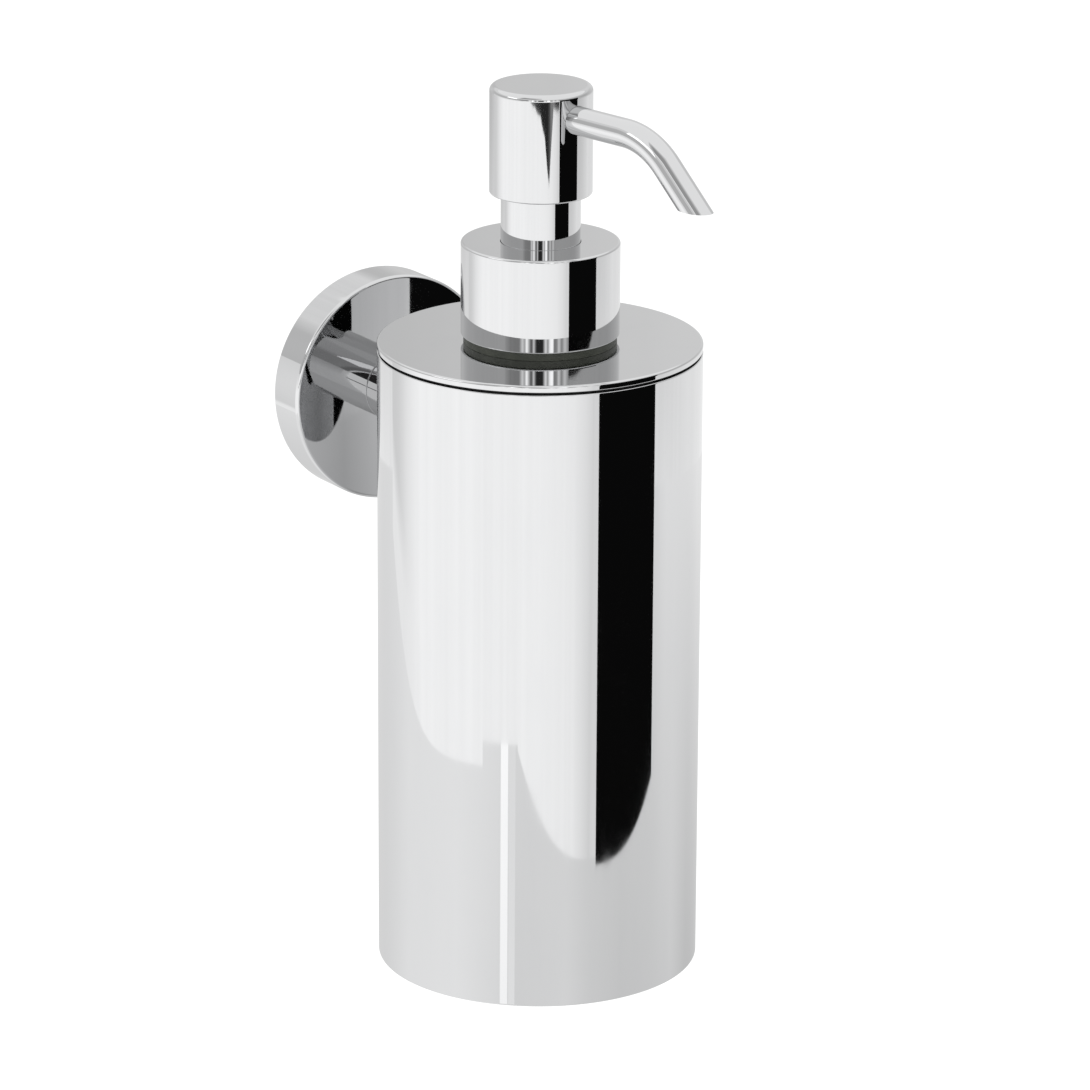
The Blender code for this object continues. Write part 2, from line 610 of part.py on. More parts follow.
def make_neck_seal(axis):
    outer = COLLAR_RADIUS - NECK_SEAL_INSET
    outline = tube_outline(NECK_HOLE, outer, GAP, COLLAR_BOTTOM - GAP)
    return add_turned("neck_seal", outline, OLIVE_RUBBER, axis, MEDIUM)


# ---- pump --------------------------------------------------------------------------------------
def make_collar(axis):
    edge = 0.15 * MM
    outline = [(COLLAR_BORE, COLLAR_BOTTOM), (COLLAR_RADIUS - edge, COLLAR_BOTTOM)]
    outline += [(COLLAR_RADIUS, COLLAR_BOTTOM + edge)]
    outline += corner(COLLAR_RADIUS - COLLAR_FILLET, COLLAR_TOP - COLLAR_FILLET, COLLAR_FILLET, 0, 90)
    outline += [(SLEEVE_HOLE, COLLAR_TOP), (SLEEVE_HOLE, COLLAR_TOP - COLLAR_WALL)]
    outline += [(COLLAR_BORE, COLLAR_TOP - COLLAR_WALL)]
    return add_turned("collar", outline, CHROME, axis)


def make_closure(axis):
    """Plastic closure inside the collar: it screws on to the neck and holds the pump's flange down."""
    outer = CLOSURE_RADIUS
    inner = THREAD_RADIUS + GAP
    low = COLLAR_BOTTOM + GAP
    plate = CLOSURE_TOP - CLOSURE_PLATE
    outline = [(inner, low), (outer, low), (outer, CLOSURE_TOP), (SLEEVE_HOLE, CLOSURE_TOP)]
    outline += [(SLEEVE_HOLE, plate), (inner, plate)]
    return add_turned("closure_insert", outline, WHITE_PLASTIC, axis, MEDIUM)


def make_guide_sleeve(axis):
    """Sleeve that the head slides over; its lower tube stops the piston at the top of its travel."""
    low_radius = HOUSING_BORE - GAP
    flange = SLEEVE_RADIUS + SLEEVE_FLANGE
    edge = 0.3 * MM
    lip = STEM_RADIUS + STEM_CLEARANCE
    outline = [(SLEEVE_BORE, SLEEVE_BOTTOM), (low_radius, SLEEVE_BOTTOM), (low_radius, FLANGE_BOTTOM)]
    outline += [(flange, FLANGE_BOTTOM), (flange, FLANGE_TOP), (SLEEVE_RADIUS, FLANGE_TOP)]
    outline += [(SLEEVE_RADIUS, SLEEVE_TOP - edge), (SLEEVE_RADIUS - edge, SLEEVE_TOP), (lip, SLEEVE_TOP)]
    outline += [(lip, SLEEVE_TOP - SLEEVE_LIP), (SLEEVE_BORE, SLEEVE_TOP - SLEEVE_LIP)]
    return add_turned("guide_sleeve", outline, CHROME, axis, MEDIUM)


def make_pump_gasket(axis):
    outline = tube_outline(HOUSING_RADIUS + GAP, NECK_RADIUS, GASKET_TOP - PUMP_GASKET_HEIGHT, GASKET_TOP)
    return add_turned("pump_gasket", outline, WHITE_PLASTIC, axis, SMALL)


def make_pump_housing(axis):
    """Cylinder that hangs in the bottle, with the ball's seat and the dip tube's socket below."""
    nose = DIP_RADIUS + GAP + HOUSING_WALL
    taper = HOUSING_RADIUS - nose
    taper_top = SHOULDER - HOUSING_WALL
    outline = [
        (HOUSING_BORE, HOUSING_TOP),
        (HOUSING_BORE, SHOULDER),
        (CHAMBER_RADIUS, SHOULDER),
        (CHAMBER_RADIUS, SEAT_TOP),
        (SEAT_RADIUS, SEAT_BOTTOM),
        (SEAT_RADIUS, SOCKET_TOP),
        (DIP_RADIUS + GAP, SOCKET_TOP),
        (DIP_RADIUS + GAP, SOCKET_BOTTOM),
        (nose, SOCKET_BOTTOM),
        (nose, taper_top - taper),
        (HOUSING_RADIUS, taper_top),
        (HOUSING_RADIUS, HOUSING_FLANGE_BOTTOM),
        (NECK_RADIUS, HOUSING_FLANGE_BOTTOM),
        (NECK_RADIUS, HOUSING_TOP),
    ]
    return add_turned("pump_housing", outline, WHITE_PLASTIC, axis, MEDIUM)


def make_ball_cage(axis):
    """Ported plate over the ball; the spring stands on it."""
    radius = HOUSING_BORE - GAP
    outline = [(0.0, CAGE_BOTTOM), (radius, CAGE_BOTTOM), (radius, CAGE_TOP), (0.0, CAGE_TOP)]
    cage = add_turned("ball_cage", outline, WHITE_PLASTIC, axis, SMALL)
    for port in range(CAGE_PORTS):
        angle = math.tau * (port + 0.5) / CAGE_PORTS
        reach = CHAMBER_RADIUS - CAGE_PORT / 2
        place = (reach * math.cos(angle), reach * math.sin(angle), 0.0)
        tool = add_rod_tool(f"cage_port_tool_{port + 1}", CAGE_PORT, CAGE_BOTTOM - PAST, CAGE_TOP + PAST, axis,
                            place, sides=12)
        combine(cage, tool)
    return cage


def make_inlet_ball(axis):
    """Check ball, just above its conical seat."""
    bm = bmesh.new()
    bmesh.ops.create_uvsphere(bm, u_segments=16, v_segments=8, radius=BALL_RADIUS)
    ball = add_mesh("inlet_ball", bm, axis)
    ball.location = (0.0, 0.0, SEAT_BOTTOM + BALL_ABOVE_SEAT)
    give_finish(ball, STEEL)
    return ball


def make_dip_tube(axis):
    """Suction tube, cut at a slant just above the bottle's floor."""
    bm = turn_outline(tube_outline(DIP_RADIUS - DIP_WALL, DIP_RADIUS, DIP_BOTTOM, SOCKET_TOP - GAP), 24)
    for vert in bm.verts:
        if vert.co.z < DIP_BOTTOM + MM:
            vert.co.z += DIP_RADIUS + vert.co.x
    tube = add_mesh("dip_tube", bm, axis)
    give_finish(tube, CLEAR_PLASTIC)
    return tube


def make_return_spring(axis):
    """Compression spring with a close coil at each end, between the ball cage and the piston."""
    steps_per_turn = 12
    count = SPRING_TURNS * steps_per_turn
    low = CAGE_TOP + GAP + SPRING_WIRE
    high = PISTON_BOTTOM - GAP - SPRING_WIRE
    close_pitch = 2 * SPRING_WIRE + 0.1 * MM
    open_pitch = (high - low - 2 * close_pitch) / (SPRING_TURNS - 2)
    path = []
    across = []
    for step in range(count + 1):
        turns = step / steps_per_turn
        first = min(turns, 1.0)
        last = max(turns - (SPRING_TURNS - 1), 0.0)
        height = low + (first + last) * close_pitch + (turns - first - last) * open_pitch
        out = Vector((math.cos(math.tau * turns), math.sin(math.tau * turns), 0.0))
        path.append(out * SPRING_RADIUS + Vector((0.0, 0.0, height)))
        across.append(out)
    up = [Vector((0.0, 0.0, 1.0))] * (count + 1)
    spring = add_mesh("return_spring", sweep(path, across, up, SPRING_WIRE, sides=5), axis)
    give_finish(spring, STEEL)
    return spring


def make_piston(axis):
    radius = HOUSING_BORE - GAP
    groove_top = PISTON_TOP - RING_BELOW_TOP
    groove_bottom = groove_top - RING_HEIGHT - 2 * GAP
    edge = 0.5 * MM
    socket = STEM_RADIUS + GAP
    outline = [(PISTON_PORT, PISTON_BOTTOM), (radius - edge, PISTON_BOTTOM), (radius, PISTON_BOTTOM + edge)]
    outline += [(radius, groove_bottom), (radius - RING_DEPTH, groove_bottom)]
    outline += [(radius - RING_DEPTH, groove_top), (radius, groove_top), (radius, PISTON_TOP)]
    outline += [(socket, PISTON_TOP), (socket, PISTON_TOP - PISTON_SOCKET)]
    outline += [(PISTON_PORT, PISTON_TOP - PISTON_SOCKET)]
    return add_turned("piston", outline, WHITE_PLASTIC, axis, SMALL)


def make_piston_ring(axis):
    high = PISTON_TOP - RING_BELOW_TOP - GAP
    inner = HOUSING_BORE - GAP - RING_DEPTH + GAP
    outline = tube_outline(inner, HOUSING_BORE - RING_CLEARANCE, high - RING_HEIGHT, high)
    return add_turned("piston_ring", outline, BLACK_RUBBER, axis, SMALL)


def make_stem(axis):
    outline = tube_outline(STEM_RADIUS - STEM_WALL, STEM_RADIUS, STEM_BOTTOM, STEM_TOP)
    return add_turned("stem", outline, WHITE_PLASTIC, axis, SMALL)


# ---- head --------------------------------------------------------------------------------------
def add_spout_port(name, axis, inner_end):
    """Tool for the spout's hole, along the spout's level run."""
    return add_rod_tool(name, PORT_RADIUS, inner_end, HEAD_RADIUS + PAST, axis,
                        (0.0, 0.0, SPOUT_HEIGHT), (math.radians(90.0), 0.0, 0.0), sides=24)


def make_head(axis):
    """Chromed head: a skirt over the guide sleeve, a seat for the core and the spout's hole."""
    seat = CORE_RADIUS + GAP
    plate = HEAD_TOP - HEAD_PLATE
    edge = 0.3 * MM
    outline = [(CAVITY_RADIUS, HEAD_BOTTOM), (HEAD_RADIUS - edge, HEAD_BOTTOM)]
    outline += [(HEAD_RADIUS, HEAD_BOTTOM + edge)]
    outline += corner(HEAD_RADIUS - HEAD_FILLET, HEAD_TOP - HEAD_FILLET, HEAD_FILLET, 0, 90, 5)
    outline += [(0.0, HEAD_TOP), (0.0, plate), (seat, plate), (seat, CAVITY_TOP)]
    outline += [(CAVITY_RADIUS, CAVITY_TOP)]
    head = add_turned("head", outline, CHROME, axis)
    combine(head, add_spout_port("head_port_tool", axis, SPOUT_START))
    return head


def make_head_core(axis):
    """Plastic core: it joins the stem to the spout inside the head."""
    outline = [(0.0, CORE_BOTTOM), (CORE_RADIUS, CORE_BOTTOM), (CORE_RADIUS, CORE_TOP), (0.0, CORE_TOP)]
    core = add_turned("head_core", outline, WHITE_PLASTIC, axis, SMALL)
    socket_top = CORE_BOTTOM + CORE_STEM_DEPTH
    combine(core, add_rod_tool("core_socket_tool", STEM_RADIUS + GAP, CORE_BOTTOM - PAST, socket_top, axis))
    combine(core, add_spout_port("core_port_tool", axis, SPOUT_START - GAP))
    rise = add_rod_tool("core_rise_tool", CORE_PASSAGE, CORE_BOTTOM, SPOUT_HEIGHT, axis, sides=16)
    combine(core, rise)
    across = add_rod_tool("core_across_tool", CORE_PASSAGE, 0.0, SPOUT_START, axis,
                          (0.0, 0.0, SPOUT_HEIGHT), (math.radians(90.0), 0.0, 0.0), sides=16)
    combine(core, across)
    return core


def make_spout(axis):
    """Bent tube: level out of the head, down through one bend, and cut level at the tip."""
    out = Vector((0.0, -1.0, 0.0))
    rise = Vector((0.0, 0.0, 1.0))
    side = Vector((1.0, 0.0, 0.0))
    start = out * SPOUT_START + rise * SPOUT_HEIGHT
    path = [start]
    tops = [rise]
    bend_steps = 9
    centre = out * SPOUT_LEVEL + rise * (SPOUT_HEIGHT - SPOUT_BEND)
    for step in range(bend_steps + 1):
        angle = SPOUT_DROP * step / bend_steps
        top = rise * math.cos(angle) + out * math.sin(angle)
        path.append(centre + top * SPOUT_BEND)
        tops.append(top)
    fall = out * math.cos(SPOUT_DROP) - rise * math.sin(SPOUT_DROP)
    straight = (path[-1].z - SPOUT_HEIGHT + SPOUT_FALL) / math.sin(SPOUT_DROP)
    path.append(path[-1] + fall * straight)
    tops.append(out / math.sin(SPOUT_DROP))
    bm = sweep(path, [side] * len(path), tops, SPOUT_RADIUS, SPOUT_RADIUS - SPOUT_WALL)
    spout = add_mesh("spout", bm, axis)
    give_finish(spout, CHROME)
    return spout


def build():
    clear_scene()
    out_of_wall = (math.radians(90.0), 0.0, 0.0)
    rosette_axis = add_axis("rosette_axis", (0.0, 0.0, 0.0), out_of_wall)
    make_wall_bracket(rosette_axis)
    make_rosette(rosette_axis)
    make_set_screw(rosette_axis)
    make_arm(rosette_axis)
    make_arm_screws(rosette_axis)

    body_axis = add_axis("body_axis", (0.0, -AXIS_TO_WALL, LID_ABOVE_ARM))
    make_saddle(body_axis)
    make_shell(body_axis)
    make_base(body_axis)
    make_lid(body_axis)
    make_lid_gasket(body_axis)
    make_bottle(body_axis)
    make_neck_seal(body_axis)

    pump_axis = add_axis("pump_axis", (0.0, 0.0, 0.0), parent=body_axis)
    make_collar(pump_axis)
    make_closure(pump_axis)
    make_guide_sleeve(pump_axis)
    make_pump_gasket(pump_axis)
    make_pump_housing(pump_axis)
    make_ball_cage(pump_axis)
    make_inlet_ball(pump_axis)
    make_dip_tube(pump_axis)
    make_return_spring(pump_axis)
    make_piston(pump_axis)
    make_piston_ring(pump_axis)

    head_axis = add_axis("head_axis", (0.0, 0.0, 0.0), (0.0, 0.0, SPOUT_SWIVEL), pump_axis)
    make_stem(head_axis)
    make_head(head_axis)
    make_head_core(head_axis)
    make_spout(head_axis)


build()
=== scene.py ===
"""Wall mounted soap dispenser, the finished pieces: polished chrome outside, plastic and steel inside.

Metres, +Z up; the wall is the plane y = 0. Heights on the container's axis are counted from the top of
its lid, heights on the rosette's axis from the wall.
"""
import json
import math

import bmesh
import bpy
from mathutils import Matrix, Vector


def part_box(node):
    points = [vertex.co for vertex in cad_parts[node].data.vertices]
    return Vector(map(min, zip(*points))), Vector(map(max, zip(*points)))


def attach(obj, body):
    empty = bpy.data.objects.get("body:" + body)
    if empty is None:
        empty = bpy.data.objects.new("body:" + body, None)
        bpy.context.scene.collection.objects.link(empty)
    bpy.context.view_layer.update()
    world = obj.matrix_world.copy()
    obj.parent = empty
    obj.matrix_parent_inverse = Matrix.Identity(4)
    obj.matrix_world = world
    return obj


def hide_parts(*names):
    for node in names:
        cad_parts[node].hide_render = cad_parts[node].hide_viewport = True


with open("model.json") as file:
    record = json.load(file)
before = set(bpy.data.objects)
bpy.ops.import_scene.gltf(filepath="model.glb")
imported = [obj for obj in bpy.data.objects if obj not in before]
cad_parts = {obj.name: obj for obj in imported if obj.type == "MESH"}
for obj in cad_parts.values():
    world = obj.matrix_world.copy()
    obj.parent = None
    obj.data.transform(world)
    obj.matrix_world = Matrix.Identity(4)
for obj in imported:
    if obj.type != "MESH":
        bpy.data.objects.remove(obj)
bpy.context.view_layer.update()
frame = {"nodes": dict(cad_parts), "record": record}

MM = 0.001
GREAT = 256                         # sides of a turned piece, by its size
LARGE = 160
MEDIUM = 96
SMALL = 64

# ---- sizes and places from the frame -------------------------------------------------------------
shell_low, shell_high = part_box("container_shell")
AXIS_Y = (shell_low.y + shell_high.y) / 2
LID_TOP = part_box("lid")[1].z


def reach(node):
    """Largest radius of a node that is turned about the container's axis."""
    node_low, node_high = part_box(node)
    return (node_high.x - node_low.x) / 2


def bottom(node):
    """Height of a node's underside, from the lid's top."""
    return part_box(node)[0].z - LID_TOP


def top(node):
    """Height of a node's top, from the lid's top."""
    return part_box(node)[1].z - LID_TOP


def off_wall(node):
    """How near to the wall and how far from it a node reaches."""
    node_low, node_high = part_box(node)
    return -node_high.y, -node_low.y


SHARP = 32.0                        # degrees; an edge that bends further than this stays crisp
SWIVEL = math.radians(10.0)         # the spout stands turned to the side
ON_AXIS = Matrix.Translation((0.0, AXIS_Y, LID_TOP))
ON_HEAD = ON_AXIS @ Matrix.Rotation(SWIVEL, 4, "Z")
TIPPED = Matrix.Rotation(math.radians(90.0), 4, "X")
OUT_OF_WALL = TIPPED                # on the rosette's axis, with +Z away from the wall

BODY_RADIUS = reach("container_shell")
SHELL_BORE = BODY_RADIUS - 1.0 * MM
SHELL_TOP = top("container_shell")
LID_THICKNESS = 1.4 * MM
NECK_HOLE = 13.8 * MM
COLLAR_RADIUS = reach("collar")
COLLAR_WALL = 0.8 * MM
SLEEVE_RADIUS = 7.95 * MM
NECK_BORE = 11.0 * MM
NECK_RADIUS = 12.7 * MM
THREAD_RADIUS = 13.5 * MM
HOUSING_BORE = 7.5 * MM
HOUSING_RADIUS = 8.8 * MM
CHAMBER_RADIUS = 3.2 * MM
SEAT_RADIUS = 1.6 * MM
DIP_RADIUS = reach("dip_tube")
STEM_RADIUS = reach("stem")
SPOUT_RADIUS = 2.85 * MM
SPOUT_HEIGHT = 46.75 * MM
ROSETTE_RADIUS = reach("rosette")
ROSETTE_BORE = ROSETTE_RADIUS - 2.5 * MM
BRACKET_RADIUS = reach("wall_bracket")
GROOVE_DEPTH = 1.6 * MM
SET_SCREW_RADIUS = 1.5 * MM
ARM_RADIUS = reach("arm")
ARM_SCREW_HEAD = 1.7 * MM
TOUCH = 0.02 * MM                   # between pieces that sit on each other

bodies = frame["record"]["behaviour"]["bodies"]
body_of_node = {node: body for body, nodes in bodies.items() for node in nodes}
slot_of_node = {part["node"]: part["material_slot"] for part in frame["record"]["subparts"]}


# ---- finishes ------------------------------------------------------------------------------------
class Value:
    """A socket that arithmetic can be written with."""

    def __init__(self, finish, socket):
        self.finish = finish
        self.socket = socket

    def maths(self, operation, first, second):
        return self.finish.node("ShaderNodeMath", {"operation": operation}, {0: first, 1: second})

    def __add__(self, other):
        return self.maths("ADD", self, other)

    def __radd__(self, other):
        return self.maths("ADD", other, self)

    def __sub__(self, other):
        return self.maths("SUBTRACT", self, other)

    def __rsub__(self, other):
        return self.maths("SUBTRACT", other, self)

    def __mul__(self, other):
        return self.maths("MULTIPLY", self, other)

    def __rmul__(self, other):
        return self.maths("MULTIPLY", other, self)

    def __pow__(self, other):
        return self.maths("POWER", self, other)

    def above(self, level, softness):
        """0 below the level and 1 above it, with a soft step."""
        settings = {"interpolation_type": "SMOOTHSTEP"}
        values = {0: self, 1: level - softness, 2: level + softness}
        return self.finish.node("ShaderNodeMapRange", settings, values)


class Finish:
    """A material, and the nodes that its surface is made of."""

    def __init__(self, name):
        self.material = bpy.data.materials.new(name)
        self.material.use_nodes = True
        self.tree = self.material.node_tree
        self.shader = self.tree.nodes["Principled BSDF"]

    def put(self, socket, value):
        """Link a value into a socket, or set a colour or number on it."""
        if isinstance(value, Value):
            self.tree.links.new(value.socket, socket)
        elif hasattr(socket.default_value, "__len__") and len(socket.default_value) == 4:
            socket.default_value = (*value, 1.0)
        else:
            socket.default_value = value

    def node(self, kind, settings=None, values=None, output=0):
        """One node, with its settings and the values or links of its sockets, as one of its outputs."""
        made = self.tree.nodes.new(kind)
        for name, setting in (settings or {}).items():
            setattr(made, name, setting)
        for name, value in (values or {}).items():
            self.put(made.inputs[name], value)
        return Value(self, made.outputs[output])

    def place(self):
        """Point on the piece, in metres, with Z along the piece's own axis."""
        return self.node("ShaderNodeTexCoord", output="Object")

    def stretched(self, x, y, z):
        """The place with its axes multiplied, so that a pattern is drawn out along the small ones."""
        settings = {"operation": "MULTIPLY"}
        return self.node("ShaderNodeVectorMath", settings, {0: self.place(), 1: (x, y, z)})

    def noise(self, size, detail=2.0, place=None, roughness=0.5):
        """Noise from 0 to 1 whose features are about as wide as size, in metres."""
        values = {"Vector": place or self.place(), "Scale": 1.0 / size}
        values |= {"Detail": detail, "Roughness": roughness}
        return self.node("ShaderNodeTexNoise", None, values)

    def turned(self):
        """Coordinates that follow a turned piece: the distance from its axis and the place along it."""
        apart = self.node("ShaderNodeSeparateXYZ", None, {0: self.place()})
        x, y, z = (Value(self, socket) for socket in apart.socket.node.outputs)
        radius = (x * x + y * y) ** 0.5
        return self.node("ShaderNodeCombineXYZ", None, {0: radius, 1: z})

    def blend(self, factor, first, second):
        """Colour between two colours; a Mix node's sockets for colours are 6, 7 and, going out, 2."""
        return self.node("ShaderNodeMix", {"data_type": "RGBA"}, {0: factor, 6: first, 7: second}, 2)

    def bump(self, height, depth, strength=1.0, under=None):
        """Normal of a surface whose height runs over depth, in metres."""
        values = {"Height": height, "Distance": depth, "Strength": strength}
        if under is not None:
            values["Normal"] = under
        return self.node("ShaderNodeBump", None, values)

    def set(self, **values):
        """Set or link the shader's own sockets, and give the material back."""
        for name, value in values.items():
            self.put(self.shader.inputs[name.replace("_", " ")], value)
        return self.material


def make_chrome(name, tone):
    """Plated and polished: a mirror with the faint waviness of the brass under it and a few wipe marks."""
    finish = Finish(name)
    cloud = finish.noise(14 * MM, 3.0)
    wipe = finish.noise(6 * MM, 4.0, finish.stretched(1.0, 1.0, 0.16), 0.6)
    smear = wipe.above(0.58, 0.10) * 0.5 + cloud.above(0.60, 0.15) * 0.5
    colour = finish.blend(smear, (tone, tone * 1.004, tone * 1.012), (tone * 0.985, tone * 0.99, tone))
    rough = 0.018 + smear * 0.030 + finish.noise(1.2 * MM, 2.0) * 0.006
    wave = finish.noise(9 * MM, 1.0, finish.stretched(1.0, 1.0, 0.05))
    normal = finish.bump(wave, 0.0022 * MM)
    normal = finish.bump(finish.noise(0.7 * MM, 1.0), 0.00006 * MM, under=normal)
    return finish.set(Base_Color=colour, Roughness=rough, Metallic=1.0, Normal=normal)


def make_steel(name, tone, rough_low, rough_high, line, depth):
    """Steel with the lines of the tool that turned or spun it, and duller spots between them."""
    finish = Finish(name)
    lines = finish.noise(line, 3.0, finish.turned(), 0.7)
    cloud = finish.noise(2.5 * MM, 3.0)
    dull = cloud.above(0.55, 0.18)
    worn = lines * 0.6 + dull * 0.4
    colour = finish.blend(worn, (tone, tone, tone * 1.01), (tone * 0.80, tone * 0.80, tone * 0.83))
    rough = rough_low + (lines * 0.5 + dull * 0.5) * (rough_high - rough_low)
    normal = finish.bump(lines, depth)
    return finish.set(Base_Color=colour, Roughness=rough, Metallic=1.0, Normal=normal)


def make_zinc():
    """Die cast zinc: grey, with the cloudy flow marks and fine pits of the casting."""
    finish = Finish("cast_zinc")
    flow = finish.noise(7 * MM, 4.0, finish.stretched(1.0, 2.2, 1.0), 0.6)
    grain = finish.noise(0.5 * MM, 3.0)
    pits = finish.node("ShaderNodeTexVoronoi", None, {"Vector": finish.place(), "Scale": 1 / (1.1 * MM)})
    hole = 1.0 - pits.above(0.16, 0.10)
    colour = finish.blend(flow, (0.40, 0.41, 0.43), (0.58, 0.59, 0.61))
    colour = finish.blend(hole * 0.5, colour, (0.24, 0.24, 0.26))
    rough = 0.38 + flow * 0.16 + grain * 0.12
    normal = finish.bump(grain, 0.012 * MM)
    normal = finish.bump(1.0 - hole, 0.02 * MM, under=normal)
    return finish.set(Base_Color=colour, Roughness=rough, Metallic=1.0, Normal=normal)


def make_plastic(name, colour, shade, rough, grain, depth, clear=0.0, rings=0.008 * MM):
    """Moulded plastic: a fine even grain, a little colour cloud and faint flow lines round the piece."""
    finish = Finish(name)
    cloud = finish.noise(9 * MM, 3.0)
    flow = finish.noise(2.4 * MM, 2.0, finish.turned())
    skin = finish.noise(grain, 2.0)
    tint = finish.blend(cloud * 0.6 + flow * 0.4, colour, shade)
    dull = rough + (skin - 0.5) * 0.10 + (flow - 0.5) * 0.12
    normal = finish.bump(skin, depth)
    normal = finish.bump(flow, rings, under=normal)
    finish.shader.inputs["IOR"].default_value = 1.5
    finish.shader.inputs["Transmission Weight"].default_value = clear
    return finish.set(Base_Color=tint, Roughness=dull, Normal=normal)


def make_rubber(name, colour, worn, rough):
    """Rubber: matt, with a pressed grain and a trace of dust in it."""
    finish = Finish(name)
    grain = finish.noise(0.25 * MM, 3.0)
    cloud = finish.noise(3 * MM, 4.0, None, 0.6)
    tint = finish.blend(cloud.above(0.55, 0.2) * 0.7, colour, worn)
    dull = rough + (grain - 0.5) * 0.2
    normal = finish.bump(grain, 0.02 * MM)
    return finish.set(Base_Color=tint, Roughness=dull, Normal=normal)


FINISHES = {
    "chrome": make_chrome("chrome", 0.62),
    # painted shade: a darker copy of the same polished chrome, used for the arm
    "painted_shade_chrome": make_chrome("painted_shade_chrome", 0.50),
    "steel": make_steel("screw_steel", 0.60, 0.16, 0.34, 0.16 * MM, 0.004 * MM),
    "spring_steel": make_steel("spring_wire", 0.52, 0.20, 0.42, 0.10 * MM, 0.003 * MM),
    "pressed_steel": make_steel("pressed_steel", 0.58, 0.22, 0.36, 0.28 * MM, 0.005 * MM),
    "zinc": make_zinc(),
    "bottle_plastic": make_plastic("milky_bottle", (0.80, 0.83, 0.83), (0.72, 0.77, 0.78), 0.34, 0.5 * MM,
                                   0.004 * MM, 0.20, 0.004 * MM),
    "tube_plastic": make_plastic("clear_tube", (0.80, 0.84, 0.84), (0.73, 0.78, 0.79), 0.26, 0.4 * MM,
                                 0.001 * MM, 0.35, 0.001 * MM),
    "white_plastic": make_plastic("white_moulding", (0.82, 0.82, 0.79), (0.76, 0.76, 0.74), 0.40, 0.35 * MM,
                                  0.006 * MM),
    "black_rubber": make_rubber("black_rubber", (0.018, 0.018, 0.019), (0.045, 0.045, 0.046), 0.66),
    "olive_rubber": make_rubber("olive_rubber", (0.045, 0.050, 0.038), (0.074, 0.080, 0.062), 0.46),
}


# ---- shaping -------------------------------------------------------------------------------------
def rounded(outline, step=math.radians(9.0)):
    """Outline points with each corner that gives a third value, its fillet's radius, rounded."""
    points = []
    for index, corner in enumerate(outline):
        here = Vector(corner[:2])
        fillet = corner[2] if len(corner) == 3 else 0.0
        if not fillet:
            points.append(here)
            continue
        before = Vector(outline[index - 1][:2]) - here
        after = Vector(outline[(index + 1) % len(outline)][:2]) - here
        half = before.angle(after) / 2
        room = 0.49 * min(before.length, after.length)
        along = min(fillet / math.tan(half), room)
        radius = along * math.tan(half)
        centre = here + (before.normalized() + after.normalized()).normalized() * radius / math.sin(half)
        start = here + before.normalized() * along - centre
        end = here + after.normalized() * along - centre
        bend = start.angle(end)
        steps = max(2, math.ceil(bend / step))
        for k in range(steps + 1):
            done = bend * k / steps
            spoke = (start * math.sin(bend - done) + end * math.sin(done)) / math.sin(bend)
            points.append(centre + spoke)
    return points


def held(points, margin=0.06 * MM):
    """The outline with a point close to each end of its long sides, which keeps the shading crisp."""
    result = []
    for here, after in zip(points, points[1:] + points[:1]):
        result.append(here)
        line = after - here
        if line.length > 6 * margin and max(here.x, after.x) > margin:
            result.append(here + line.normalized() * margin)
            result.append(after - line.normalized() * margin)
    return result


def turn(outline, sides):
    """Bmesh of a closed outline of (radius, height[, fillet]) corners, turned about Z."""
    points = held(rounded(outline))
    angles = [math.tau * k / sides for k in range(sides)]
    spokes = [(math.cos(angle), math.sin(angle)) for angle in angles]
    bm = bmesh.new()
    rings = []
    for point in points:
        if point.x < 1e-7:
            rings.append([bm.verts.new((0.0, 0.0, point.y))])
            continue
        rings.append([bm.verts.new((point.x * x, point.x * y, point.y)) for x, y in spokes])
    for first, second in zip(rings, rings[1:] + rings[:1]):
        if len(first) == 1 and len(second) == 1:
            continue
        for k in range(sides):
            after = (k + 1) % sides
            corners = [first[k % len(first)], first[after % len(first)],
                       second[after % len(second)], second[k % len(second)]]
            bm.faces.new(list(dict.fromkeys(corners)))
    return bm


def tube(inner, outer, low, high, edge):
    """Outline of a plain tube with all four edges rounded."""
    return [(inner, low, edge), (outer, low, edge), (outer, high, edge), (inner, high, edge)]


def threaded(radius, low, high, pitch, depth):
    """Outline of a thread's crests and roots between two heights, going up."""
    points = [(radius - depth, low)]
    count = int((high - low) / pitch)
    for index in range(count):
        base = low + (high - low) * index / count
        points.append((radius, base + 0.4 * pitch))
        points.append((radius, base + 0.6 * pitch))
        points.append((radius - depth, base + 0.95 * pitch))
    return points


def add_object(name, bm, place, sharp=SHARP):
    """Object from a bmesh, faces outwards, round sides smooth."""
    bmesh.ops.remove_doubles(bm, verts=bm.verts, dist=1e-8)
    bmesh.ops.recalc_face_normals(bm, faces=bm.faces)
    mesh = bpy.data.meshes.new(name)
    bm.to_mesh(mesh)
    bm.free()
    mesh.shade_smooth()
    mesh.set_sharp_from_angle(angle=math.radians(sharp))
    piece = bpy.data.objects.new(name, mesh)
    piece.matrix_world = place
    bpy.context.scene.collection.objects.link(piece)
    return piece


def cut(piece, tool, operation="DIFFERENCE"):
    """Cut a hole in the piece, or join the tool to it, and drop the tool."""
    modifier = piece.modifiers.new("cut", "BOOLEAN")
    modifier.operation = operation
    modifier.solver = "EXACT"
    modifier.object = tool
    bpy.context.view_layer.update()
    graph = bpy.context.evaluated_depsgraph_get()
    mesh = bpy.data.meshes.new_from_object(piece.evaluated_get(graph))
    piece.modifiers.clear()
    piece.data = mesh
    bpy.data.objects.remove(tool, do_unlink=True)
    mesh.shade_smooth()
    mesh.set_sharp_from_angle(angle=math.radians(SHARP))


def rod(radius, low, high, place, sides=MEDIUM):
    """Plain tool for a hole, along its own Z."""
    return add_object("tool", turn([(0.0, low), (radius, low), (radius, high), (0.0, high)], sides), place)


